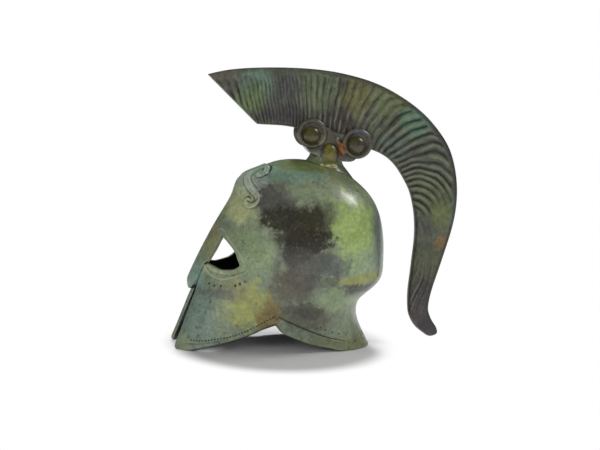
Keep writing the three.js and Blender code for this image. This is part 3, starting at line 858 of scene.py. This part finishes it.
def curvature(piece, rounds):
    # how far each point stands out of the points around it, in mm
    mesh = piece.data
    count = len(mesh.vertices)
    places = np.empty(count * 3)
    mesh.vertices.foreach_get("co", places)
    places = places.reshape(-1, 3) / mm
    normals = np.empty(count * 3)
    mesh.vertices.foreach_get("normal", normals)
    normals = normals.reshape(-1, 3)
    ends = np.empty(len(mesh.edges) * 2, int)
    mesh.edges.foreach_get("vertices", ends)
    first, second = ends.reshape(-1, 2).T
    around = np.maximum(np.bincount(ends, minlength=count), 1)

    def averaged(values):
        total = np.zeros_like(values)
        np.add.at(total, first, values[second])
        np.add.at(total, second, values[first])
        return total / around.reshape((-1,) + (1,) * (values.ndim - 1))

    even = places
    for _ in range(rounds):
        even = averaged(even)
    standing = ((places - even) * normals).sum(1)
    layer = mesh.attributes.new("ornament", "FLOAT", "POINT")
    layer.data.foreach_set("value", averaged(averaged(standing)).astype(np.float32))


def cutAway(piece, cutters):
    for points, faces in cutters:
        cutter = makeMesh("cutter", points, faces)
        cut = piece.modifiers.new("cut", "BOOLEAN")
        cut.operation = "DIFFERENCE"
        cut.solver = "EXACT"
        cut.object = cutter
        baked(piece)
        bpy.data.objects.remove(cutter)
    return piece


def plumeBlank(grow):
    # the plume without its ribs, a little larger, to cut its seat
    rings = []
    for row in np.linspace(1, 12, 60):
        outerY, outerZ, innerY, innerZ, half = plumeLine(row)
        outer, inner = np.array([outerY, outerZ]), np.array([innerY, innerZ])
        across = (outer - inner) / np.linalg.norm(outer - inner)
        bend = np.linspace(0, math.pi, 13)
        reach = plumeSpec["innerRound"] + grow
        low = inner - across * grow
        ring = [(-(half + grow) * math.cos(a), *(low + across * reach * (1 - math.sin(a)))) for a in bend]
        ring += [(half + grow, *(outer + across * 2)), (-half - grow, *(outer + across * 2))]
        rings.append(np.array(ring))
    return tube(rings)


def crownBlank(lift):
    # the top of the bowl, lifted a little, to cut the foot to it
    turn = np.arange(96) / 96 * 2 * math.pi
    rings = []
    for place in np.linspace(0.6, 42, 60):
        places = np.full(96, place)
        _, _, normal = bowlFrame(turn, places, 0)
        rings.append(bowlPoint(turn, places, 0) + normal * lift)
    rings.append(rings[-1] * [0.9, 0.9, 1] - [0, 0, 8])
    return tube([ring for ring in rings[::-1]])


def makeHolder(spec):
    parts = [footRings(spec), saddleRings(spec)]
    for ring in spec["rings"]:
        y, z, radius = ring["y"], ring["z"], ring["radius"]
        face = spec["cheekFace"]
        parts.append(turnedAcross([(radius - 0.3, -face), (radius, -face + 0.3), (radius, face - 0.3),
                                   (radius - 0.3, face)], y, z, 96))
        for side in (-1, 1):
            parts.append(torus(side * face, y, z, radius, spec["bead"]))
            parts.append(torus(side * face, y, z, radius - spec["bead"] - 0.3, spec["innerBead"]))
    for x, y, z, reachX, reachY, reachZ, lean in spec["lumps"].values():
        for side in (-1, 1):
            parts.append(ellipsoid(side * x, y, z, reachX, reachY, reachZ, lean))
    holder = makeMesh("crestHolder", *joined(parts))
    remesh = holder.modifiers.new("cast as one", "REMESH")
    remesh.mode = "VOXEL"
    remesh.voxel_size = spec["grain"] * mm
    soften = holder.modifiers.new("soften", "SMOOTH")
    soften.factor = 0.5
    soften.iterations = spec["softening"]
    baked(holder)
    bores = [turnedAcross([(bossSpec["shank"] + spec["gap"], -20), (bossSpec["shank"] + spec["gap"], 20)],
                          boss["y"], boss["z"], 32) for boss in bossSpec["bosses"].values()]
    return cutAway(holder, [plumeBlank(spec["gap"]), crownBlank(0.12)] + bores)


print("rivets")
bossSpec = {
    "bosses": {"frontBoss": {"y": -5.6, "z": 146.7}, "rearBoss": {"y": 26.2, "z": 139.9}},
    "radius": 6,
    "rise": 4.2,
    "seat": 8.7,     # from the middle plane to the underside of each head
    "shank": 2,
    "rimFlat": 0.35,  # thickness of the head's edge
}
rivetSpec = {
    "y": 4,
    "shank": 2.5,
    "head": 5,
    "headThick": 2.4,
    "length": 13,
    "seat": -3.2,    # underside of the wall, along the way out of the crown
}


def bossProfile(spec):
    # one head and half the shank, from the middle out
    seat, radius, rise = spec["seat"], spec["radius"], spec["rise"]
    head = [(spec["shank"], 0), (spec["shank"], seat), (radius - 0.4, seat), (radius, seat + spec["rimFlat"])]
    for turn in np.linspace(0, math.pi / 2, 15)[1:]:
        dome = math.cos(turn) ** 0.85
        climb = spec["rimFlat"] + (rise - spec["rimFlat"]) * math.sin(turn)
        head.append((max(0.02, radius * dome), seat + climb))
    return head


def makeBoss(spec, y, z):
    half = bossProfile(spec)
    profile = [(radius, -reach) for radius, reach in half[:0:-1]] + half[1:]
    return turnedAcross(profile, y, z)


def makeCrownRivet(spec):
    place = float(np.interp(spec["y"], bowlPoint(np.full(200, math.pi), finePlaces[:400:2])[:, 1],
                            finePlaces[:400:2]))
    _, _, normal = bowlFrame(np.array([math.pi]), np.array([place]))
    top = bowlPoint(np.array([math.pi]), np.array([place]))[0]
    head, seat = spec["head"], spec["seat"]
    low = seat - spec["headThick"]
    profile = [(0.02, low)] + [(head * math.sin(turn), low + spec["headThick"] * 0.6 * (1 - math.cos(turn)))
                               for turn in np.linspace(0.15, math.pi / 2, 9)]
    profile += [(head, seat - 0.3), (head - 0.3, seat), (spec["shank"], seat),
                (spec["shank"], spec["length"] - 0.4), (spec["shank"] - 0.4, spec["length"]),
                (0.02, spec["length"])]
    points, faces = turnedAcross(profile, 0, 0, 48)
    out = np.array(normal[0])
    side = unit(np.cross(out, [1, 0, 0]))
    return top + points[:, :1] * out + points[:, 1:2] * [1, 0, 0] + points[:, 2:] * side, faces


print("materials")


def tone(red, green, blue, level=1.0):
    return tuple(level * (value / 255) ** 2.2 for value in (red, green, blue)) + (1.0,)


class Finish:
    # a cast bronze finish: mottled ground, patches of colour, darker hollows and lighter ridges, which are
    # patina and wear, and on the crest also painted shade and light

    def __init__(self, name, spec):
        self.material = bpy.data.materials.new(name)
        self.material.use_nodes = True
        self.tree = self.material.node_tree
        self.tree.nodes.clear()
        self.spec = spec
        coordinates = self.add("ShaderNodeTexCoord")
        toMillimetres = self.add("ShaderNodeVectorMath", operation="SCALE")
        toMillimetres.inputs["Scale"].default_value = 1 / mm
        self.join(coordinates.outputs["Object"], toMillimetres.inputs[0])
        self.place = toMillimetres.outputs[0]
        self.coarse = self.cloud(24, 5, 0.6)
        self.mid = self.cloud(7, 6, 0.68)
        self.fray = self.cloud(spec["fray"], 8, 0.74)
        self.speckle = self.cloud(1.3, 4, 0.75)
        self.warped = self.warp(self.cloud(13, 5, 0.62, "Color"), spec["wander"])

    def add(self, kind, **settings):
        made = self.tree.nodes.new(kind)
        for key, value in settings.items():
            setattr(made, key, value)
        return made

    def join(self, source, target):
        self.tree.links.new(source, target)

    def cloud(self, size, detail, roughness, output="Fac", place=None):
        made = self.add("ShaderNodeTexNoise")
        made.inputs["Scale"].default_value = 1 / size
        made.inputs["Detail"].default_value = detail
        made.inputs["Roughness"].default_value = roughness
        self.join(place or self.place, made.inputs["Vector"])
        return made.outputs[output]

    def math(self, operation, first, second=0.5, third=0.5):
        made = self.add("ShaderNodeMath", operation=operation)
        for socket, value in zip(made.inputs, (first, second, third)):
            if hasattr(value, "links"):
                self.join(value, socket)
            else:
                socket.default_value = value
        return made.outputs[0]

    def ramp(self, value, low, high, start=0.0, end=1.0):
        made = self.add("ShaderNodeMapRange", interpolation_type="SMOOTHSTEP")
        for name, amount in (("From Min", low), ("From Max", high), ("To Min", start), ("To Max", end)):
            made.inputs[name].default_value = amount
        self.join(value, made.inputs["Value"])
        return made.outputs["Result"]

    def warp(self, cloud, amount):
        centred = self.add("ShaderNodeVectorMath", operation="SUBTRACT")
        centred.inputs[1].default_value = (0.5, 0.5, 0.5)
        self.join(cloud, centred.inputs[0])
        moved = self.add("ShaderNodeVectorMath", operation="MULTIPLY_ADD")
        moved.inputs[1].default_value = (2 * amount,) * 3
        self.join(centred.outputs[0], moved.inputs[0])
        self.join(self.place, moved.inputs[2])
        return moved.outputs[0]

    def mix(self, under, over, factor, blend="MIX"):
        made = self.add("ShaderNodeMix", data_type="RGBA", blend_type=blend)
        made.clamp_factor = True
        for socket, value in ((made.inputs[6], under), (made.inputs[7], over), (made.inputs[0], factor)):
            if hasattr(value, "links"):
                self.join(value, socket)
            else:
                socket.default_value = value
        return made.outputs[2]

    def grey(self, value):
        made = self.add("ShaderNodeCombineColor")
        for socket in made.inputs:
            self.join(value, socket)
        return made.outputs[0]

    def patch(self, centre, reach, ragged, edge):
        # a patch around a place given by y and z, the same on both sides; edge is how slowly it ends
        away = self.add("ShaderNodeVectorMath", operation="SUBTRACT")
        away.inputs[1].default_value = (0, *centre)
        self.join(self.warped, away.inputs[0])
        scaled = self.add("ShaderNodeVectorMath", operation="MULTIPLY")
        scaled.inputs[1].default_value = (0, 1 / reach[0], 1 / reach[1])
        self.join(away.outputs[0], scaled.inputs[0])
        length = self.add("ShaderNodeVectorMath", operation="LENGTH")
        self.join(scaled.outputs[0], length.inputs[0])
        frayed = self.math("MULTIPLY_ADD", self.fray, 5 * ragged, length.outputs["Value"])
        return self.ramp(frayed, 0.93 + edge + 2.5 * ragged, 0.93 - edge + 2.5 * ragged)

    def attribute(self, name):
        return self.add("ShaderNodeAttribute", attribute_name=name).outputs["Fac"]

    def build(self):
        spec = self.spec
        level = spec["level"]
        colour = self.mix(tone(*spec["ground"], level), tone(*spec["second"], level),
                          self.ramp(self.coarse, 0.38, 0.62))
        colour = self.mix(colour, tone(*spec["third"], level), self.ramp(self.mid, 0.48, 0.68, 0, 0.7))
        for group, edge in (("patches", 0.34), ("stains", 0.13)):
            for centre, reach, shade, strength in spec.get(group, ()):
                mask = self.math("MULTIPLY", self.patch(centre, reach, spec["ragged"], edge), strength)
                colour = self.mix(colour, tone(*shade, level), mask)
        dark = self.ramp(self.cloud(3.6, 7, 0.72), 0.52, 0.66)
        dark = self.math("MULTIPLY", dark, self.ramp(self.cloud(31, 3, 0.5), 0.38, 0.62, 0.12, spec["mottle"]))
        colour = self.mix(colour, tone(*spec["stain"], level), dark)
        light = self.ramp(self.cloud(2.1, 5, 0.75, place=self.warped), 0.55, 0.72, 0, spec["bloom"])
        colour = self.mix(colour, tone(*spec["bloomTone"], level), light)
        colour = self.mix(colour, tone(*spec["stain"], level),
                          self.ramp(self.speckle, 0.6, 0.75, 0, spec["specks"]))
        for size, share in ((2.6, 0.7), (10, 0.6)):
            grain = spec["grain"] * share
            shade = self.ramp(self.cloud(size, 6, 0.74), 0.36, 0.64, 1 - grain, 1 + grain)
            colour = self.mix(colour, self.grey(shade), 1.0, "MULTIPLY")
        ornament = self.attribute("ornament")
        # darker in the hollows and lighter on raised parts: patina and wear, and on the crest partly painted
        # shade and light of the ribs
        sunk = self.ramp(ornament, -0.04, -spec["sinkDepth"], 0, spec["sinkShade"])
        colour = self.mix(colour, tone(*spec["hollow"], level), sunk)
        raised = self.ramp(ornament, 0.16, spec["riseHeight"], 0, spec["rubbedAndLit"])
        raised = self.math("MULTIPLY", raised, self.ramp(self.mid, 0.35, 0.55, 0.45, 1))
        colour = self.mix(colour, tone(*spec["rubbedAndLitTone"], level), raised)
        # the dark inside colour on the lining, and as painted shade on the rim faces that turn down
        if "inside" in spec:
            colour = self.mix(colour, tone(*spec["inside"]), self.ramp(self.attribute("lining"), 0.55, 0.95))

        shader = self.add("ShaderNodeBsdfPrincipled")
        shader.inputs["Metallic"].default_value = spec["metal"]
        shader.inputs["Coat Weight"].default_value = spec["wax"]
        shader.inputs["Coat Roughness"].default_value = spec["waxRoughness"]
        self.join(colour, shader.inputs["Base Color"])
        rough = self.ramp(self.mid, 0.3, 0.7, spec["roughness"] - 0.07, spec["roughness"] + 0.1)
        rough = self.math("ADD", rough, self.math("MULTIPLY", dark, 0.12))
        self.join(rough, shader.inputs["Roughness"])
        height = self.math("MULTIPLY_ADD", self.speckle, 0.35, self.math("MULTIPLY", self.mid, 0.5))
        height = self.math("MULTIPLY_ADD", self.ramp(self.cloud(1.0, 2, 0.5), 0.66, 0.78), -0.5, height)
        bump = self.add("ShaderNodeBump")
        bump.inputs["Strength"].default_value = spec["bump"]
        bump.inputs["Distance"].default_value = 0.3 * mm
        self.join(height, bump.inputs["Height"])
        self.join(bump.outputs["Normal"], shader.inputs["Normal"])
        output = self.add("ShaderNodeOutputMaterial")
        self.join(shader.outputs[0], output.inputs["Surface"])
        return self.material


shellFinish = {
    "level": 0.87, "wander": 7, "ragged": 0.46, "fray": 9, "grain": 0.24,
    "ground": (112, 122, 96), "second": (100, 112, 96), "third": (120, 126, 92),
    "stain": (52, 50, 42), "mottle": 0.7, "bloom": 0.3, "bloomTone": (146, 158, 126), "specks": 0.4,
    "sinkDepth": 0.55, "sinkShade": 0.92, "hollow": (34, 34, 28),
    "riseHeight": 0.5, "rubbedAndLit": 0.45, "rubbedAndLitTone": (160, 168, 148),
    # dark colour of the lining, also painted on the rim faces that turn down as shade
    "inside": (30, 28, 24),
    "metal": 0.0, "wax": 0.3, "waxRoughness": 0.22, "roughness": 0.38, "bump": 0.22,
    # y and z, reach along y and z, colour, strength
    "patches": [
        ((-56, 104), (14, 16), (150, 156, 112), 0.8),
        ((-49, 116), (13, 10), (142, 152, 142), 0.8),
        ((-22, 121), (26, 6), (100, 124, 106), 0.85),
        ((-2, 127), (26, 5), (94, 104, 48), 0.85),
        ((16, 118), (14, 7), (96, 102, 66), 0.7),
        ((-34, 104), (15, 13), (80, 80, 76), 0.9),
        ((-18, 85), (24, 17), (46, 43, 34), 0.95),
        ((-2, 92), (12, 12), (62, 62, 42), 0.6),
        ((-14, 62), (22, 14), (66, 63, 58), 0.9),
        ((-24, 46), (16, 12), (74, 68, 56), 0.85),
        ((20, 84), (17, 26), (132, 152, 88), 0.95),
        ((24, 62), (15, 9), (122, 142, 106), 0.8),
        ((42, 76), (10, 24), (84, 100, 88), 0.7),
        ((24, 51), (20, 4), (126, 128, 62), 0.9),
        ((22, 43.5), (22, 4), (52, 50, 42), 0.9),
        ((10, 36), (14, 9), (124, 142, 106), 0.75),
        ((-10, 24), (18, 10), (76, 74, 62), 0.85),
        ((12, 6), (40, 5), (104, 106, 68), 0.6),
        ((-46, 66), (12, 16), (112, 129, 91), 0.7),
        ((-52, 34), (15, 17), (128, 132, 70), 0.9),
        ((-38, 26), (9, 13), (104, 88, 44), 0.85),
        ((-68, 41), (16, 7), (104, 106, 90), 0.6),
        ((-84, 26), (12, 24), (98, 116, 106), 0.85),
        ((-86, 52), (7, 12), (112, 138, 128), 0.8),
        ((-75, 56), (7, 5), (148, 160, 122), 0.7),
        ((-76, 78), (8, 14), (116, 112, 78), 0.6),
    ],
    "stains": [
        ((-37, 104), (9, 8), (64, 64, 60), 0.7),
        ((-31, 91), (11, 9), (44, 42, 32), 0.9),
        ((-11, 91), (9, 8), (46, 44, 32), 0.8),
        ((-12, 78), (17, 9), (40, 37, 28), 0.95),
        ((-22, 69), (9, 7), (52, 50, 44), 0.8),
        ((3, 61), (13, 7), (64, 70, 68), 0.6),
        ((-8, 50), (14, 6), (56, 54, 50), 0.6),
        ((-14, 30), (14, 5), (60, 58, 54), 0.6),
        ((41, 80), (5, 14), (66, 76, 72), 0.6),
        ((-71, 40), (13, 4), (84, 84, 80), 0.6),
    ],
}
plumeFinish = {
    "level": 0.65, "wander": 6, "ragged": 0.46, "fray": 7, "grain": 0.32,
    "ground": (76, 80, 64), "second": (68, 70, 62), "third": (88, 92, 68),
    "stain": (44, 40, 40), "mottle": 0.7, "bloom": 0.3, "bloomTone": (120, 128, 102), "specks": 0.4,
    "sinkDepth": 0.6, "sinkShade": 0.85, "hollow": (30, 28, 26),
    "riseHeight": 0.4, "rubbedAndLit": 0.6, "rubbedAndLitTone": (120, 126, 98),
    "metal": 0.0, "wax": 0.25, "waxRoughness": 0.25, "roughness": 0.42, "bump": 0.3,
    "patches": [
        ((-68, 185), (14, 10), (82, 78, 68), 0.85),
        ((-42, 182), (14, 9), (96, 122, 104), 0.8),
        ((-47, 170), (10, 12), (92, 112, 66), 0.75),
        ((-21, 176), (13, 12), (70, 72, 70), 0.9),
        ((-26, 160), (16, 7), (60, 54, 58), 0.9),
        ((1, 178), (16, 14), (86, 98, 68), 0.7),
        ((26, 172), (12, 14), (100, 98, 52), 0.75),
        ((14, 155), (14, 9), (52, 44, 40), 0.95),
        ((52, 170), (14, 12), (92, 104, 58), 0.75),
        ((68, 155), (13, 10), (70, 112, 88), 0.8),
        ((54, 141), (10, 9), (60, 76, 72), 0.75),
        ((78, 128), (15, 14), (72, 78, 64), 0.6),
        ((84, 103), (14, 14), (82, 92, 56), 0.7),
        ((90, 90), (8, 9), (106, 116, 58), 0.6),
        ((89, 70), (5, 6), (128, 96, 44), 0.7),
        ((99, 84), (3, 20), (96, 106, 116), 0.6),
        ((80, 55), (14, 16), (76, 82, 52), 0.6),
        ((76, 28), (14, 20), (56, 48, 50), 0.85),
        ((84, 8), (12, 12), (46, 40, 46), 0.9),
    ],
}
holderFinish = {
    "level": 0.85, "wander": 3.5, "ragged": 0.3, "fray": 4, "grain": 0.3,
    "ground": (58, 54, 46), "second": (66, 66, 54), "third": (74, 74, 58),
    "stain": (40, 34, 32), "mottle": 0.6, "bloom": 0.3, "bloomTone": (108, 112, 88), "specks": 0.4,
    "sinkDepth": 0.25, "sinkShade": 0.85, "hollow": (26, 22, 20),
    "riseHeight": 0.3, "rubbedAndLit": 0.45, "rubbedAndLitTone": (112, 114, 90),
    "metal": 0.0, "wax": 0.35, "waxRoughness": 0.15, "roughness": 0.38, "bump": 0.35,
    "patches": [
        ((-2, 131), (8, 5), (104, 112, 90), 0.9),
        ((5, 122), (24, 7), (98, 108, 74), 0.95),
        ((7.5, 133.6), (5.2, 7), (92, 88, 32), 1.0),
        ((16, 137.5), (2.6, 5.5), (104, 62, 30), 0.95),
        ((5, 123), (22, 3.5), (96, 108, 54), 0.85),
        ((18, 125), (5, 5), (96, 100, 84), 0.7),
        ((2, 143), (3, 4), (104, 106, 84), 0.7),
        # painted highlight: a cream strip over the three granules at the foot
        ((5, 125), (7, 1.6), (190, 186, 140), 0.7),
        ((27, 150), (9, 3), (70, 72, 84), 0.6),
    ],
}
bossFinish = {
    "level": 0.6, "wander": 3, "ragged": 0.3, "fray": 4, "grain": 0.25,
    "ground": (76, 70, 30), "second": (66, 60, 32), "third": (84, 82, 44),
    "stain": (44, 36, 28), "mottle": 0.5, "bloom": 0.25, "bloomTone": (120, 118, 76), "specks": 0.35,
    "sinkDepth": 0.5, "sinkShade": 0.0, "hollow": (34, 32, 28),
    "riseHeight": 0.5, "rubbedAndLit": 0.0, "rubbedAndLitTone": (150, 150, 110),
    "metal": 0.1, "wax": 0.4, "waxRoughness": 0.12, "roughness": 0.34, "bump": 0.3,
    "patches": [((27, 138), (7, 5), (72, 66, 54), 0.8)],
}
rivetFinish = dict(bossFinish, ground=(84, 74, 44), second=(66, 58, 40), third=(92, 86, 56), patches=[])

print("pieces")
shell = makeMesh("helmetShell", *joinShell(), Finish("shell patina", shellFinish).build())
plume = makeMesh("crestPlume", *makePlume(), Finish("crest patina", plumeFinish).build())
holder = makeHolder(holderSpec)
holder.data.materials.clear()
holder.data.materials.append(Finish("holder patina", holderFinish).build())
curvature(holder, 14)
bossMaterial = Finish("boss patina", bossFinish).build()
frontBoss = makeMesh("frontBossRivet", *makeBoss(bossSpec, **bossSpec["bosses"]["frontBoss"]),
                     material=bossMaterial)
rearBoss = makeMesh("rearBossRivet", *makeBoss(bossSpec, **bossSpec["bosses"]["rearBoss"]),
                    material=bossMaterial)
crownRivet = makeMesh("crestRivet", *makeCrownRivet(rivetSpec),
                      material=Finish("rivet patina", rivetFinish).build())
for piece, node, slot in ((shell, "helmet_shell", "shell"), (plume, "crest_plume", "crest"),
                          (holder, "crest_holder", "holder"), (frontBoss, "front_boss_rivet", "boss"),
                          (rearBoss, "rear_boss_rivet", "boss"), (crownRivet, "crest_rivet", "rivet")):
    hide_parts(node)
    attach(piece, "root")
    print(f"  {piece.name}: {sum(len(p.vertices) - 2 for p in piece.data.polygons)} triangles")

print("studio")
studio = {
    "azimuth": 81, "elevation": 6.4, "roll": 0.8,
    "distance": 1050, "lens": 90, "aim": (0, -11.2, 83.35),
    "worldFill": 0.1,
    # softboxes: azimuth, elevation, distance, size, power, seen in the gloss
    "softboxes": [(180, 44, 900, 330, 3.4, True), (256, 50, 1100, 240, 14, False),
                  (48, 9, 1200, 800, 9, False), (112, 9, 1200, 800, 6, False),
                  (60, 80, 1100, 900, 2, False)],
    "floorTone": (0.6, 0.6, 0.6),
    # the floor glows white outside an oval and not inside it, which paints the helmet's shadow: its y and its
    # reach along x and y
    "paintedShadowOval": (-26, 98, 74),
    "paintedShadowOvalEdge": (0.86, 1.14),
}


def direction(azimuth, elevation):
    around, up = math.radians(azimuth), math.radians(elevation)
    return Vector((math.sin(around) * math.cos(up), -math.cos(around) * math.cos(up), math.sin(up)))


def makeCamera(spec):
    camera = bpy.data.objects.new("camera", bpy.data.cameras.new("camera"))
    bpy.context.scene.collection.objects.link(camera)
    bpy.context.scene.camera = camera
    camera.data.lens = spec["lens"]
    camera.data.clip_start = 0.05
    camera.data.clip_end = 50
    away = direction(spec["azimuth"], spec["elevation"])
    turn = math.radians(spec["azimuth"])
    right = Vector((math.cos(turn), math.sin(turn), 0))
    up = away.cross(right)
    roll = math.radians(spec["roll"])
    tiltedRight = right * math.cos(roll) + up * math.sin(roll)
    tiltedUp = up * math.cos(roll) - right * math.sin(roll)
    camera.matrix_world = Matrix.Translation((Vector(spec["aim"]) + away * spec["distance"]) * mm) \
        @ Matrix((tiltedRight, tiltedUp, away)).transposed().to_4x4()


def makeLights(spec):
    aim = Vector(spec["aim"])
    for azimuth, elevation, distance, size, power, inGloss in spec["softboxes"]:
        light = bpy.data.objects.new("softbox", bpy.data.lights.new("softbox", "AREA"))
        light.data.shape = "DISK"
        light.data.size = size * mm
        light.data.energy = power
        light.visible_glossy = inGloss
        light.location = (aim + direction(azimuth, elevation) * distance) * mm
        light.rotation_euler = direction(azimuth, elevation).to_track_quat("Z", "Y").to_euler()
        bpy.context.scene.collection.objects.link(light)


def makeWorld(spec):
    # the studio's white walls as the camera sees them, and a calmer light on the bronze
    world = bpy.data.worlds.new("studio")
    world.use_nodes = True
    tree = world.node_tree
    walls = tree.nodes["Background"]
    walls.inputs["Color"].default_value = (1, 1, 1, 1)
    fill = tree.nodes.new("ShaderNodeBackground")
    fill.inputs["Color"].default_value = (1, 1, 1, 1)
    fill.inputs["Strength"].default_value = spec["worldFill"]
    seen = tree.nodes.new("ShaderNodeLightPath")
    choice = tree.nodes.new("ShaderNodeMixShader")
    tree.links.new(seen.outputs["Is Camera Ray"], choice.inputs[0])
    tree.links.new(fill.outputs[0], choice.inputs[1])
    tree.links.new(walls.outputs[0], choice.inputs[2])
    tree.links.new(choice.outputs[0], tree.nodes["World Output"].inputs["Surface"])
    bpy.context.scene.world = world


def makeFloor(spec):
    turn = np.arange(96) / 96 * 2 * math.pi
    rings = [np.stack([radius * np.cos(turn), radius * np.sin(turn), np.full(96, height)], 1)
             for radius, height in ((2000, -8), (2000, -0.02), (1000, -0.02))]
    points, faces = tube(rings)
    material = bpy.data.materials.new("pale floor")
    material.use_nodes = True
    shader = material.node_tree.nodes["Principled BSDF"]
    shader.inputs["Base Color"].default_value = (*spec["floorTone"], 1)
    shader.inputs["Roughness"].default_value = 0.6
    tree = material.node_tree
    coordinates = tree.nodes.new("ShaderNodeTexCoord")
    # painted shadow: the floor glows white outside the oval, and inside it only the lamps light it
    middle, reachX, reachY = spec["paintedShadowOval"]
    away = tree.nodes.new("ShaderNodeVectorMath")
    away.inputs[1].default_value = (0, -middle * mm, 0)
    radius = tree.nodes.new("ShaderNodeVectorMath")
    radius.operation = "MULTIPLY"
    radius.inputs[1].default_value = (1 / (reachX * mm), 1 / (reachY * mm), 0)
    length = tree.nodes.new("ShaderNodeVectorMath")
    length.operation = "LENGTH"
    spread = tree.nodes.new("ShaderNodeMapRange")
    spread.interpolation_type = "SMOOTHSTEP"
    spread.inputs["From Min"].default_value = spec["paintedShadowOvalEdge"][0]
    spread.inputs["From Max"].default_value = spec["paintedShadowOvalEdge"][1]
    glow = tree.nodes.new("ShaderNodeEmission")
    blend = tree.nodes.new("ShaderNodeMixShader")
    tree.links.new(coordinates.outputs["Object"], away.inputs[0])
    tree.links.new(away.outputs[0], radius.inputs[0])
    tree.links.new(radius.outputs[0], length.inputs[0])
    tree.links.new(length.outputs["Value"], spread.inputs["Value"])
    tree.links.new(spread.outputs["Result"], blend.inputs[0])
    tree.links.new(shader.outputs[0], blend.inputs[1])
    tree.links.new(glow.outputs[0], blend.inputs[2])
    tree.links.new(blend.outputs[0], tree.nodes["Material Output"].inputs["Surface"])
    makeMesh("floor", points, faces, material=material)


makeCamera(studio)
makeLights(studio)
makeWorld(studio)
makeFloor(studio)
bpy.context.scene.view_settings.view_transform = "Standard"
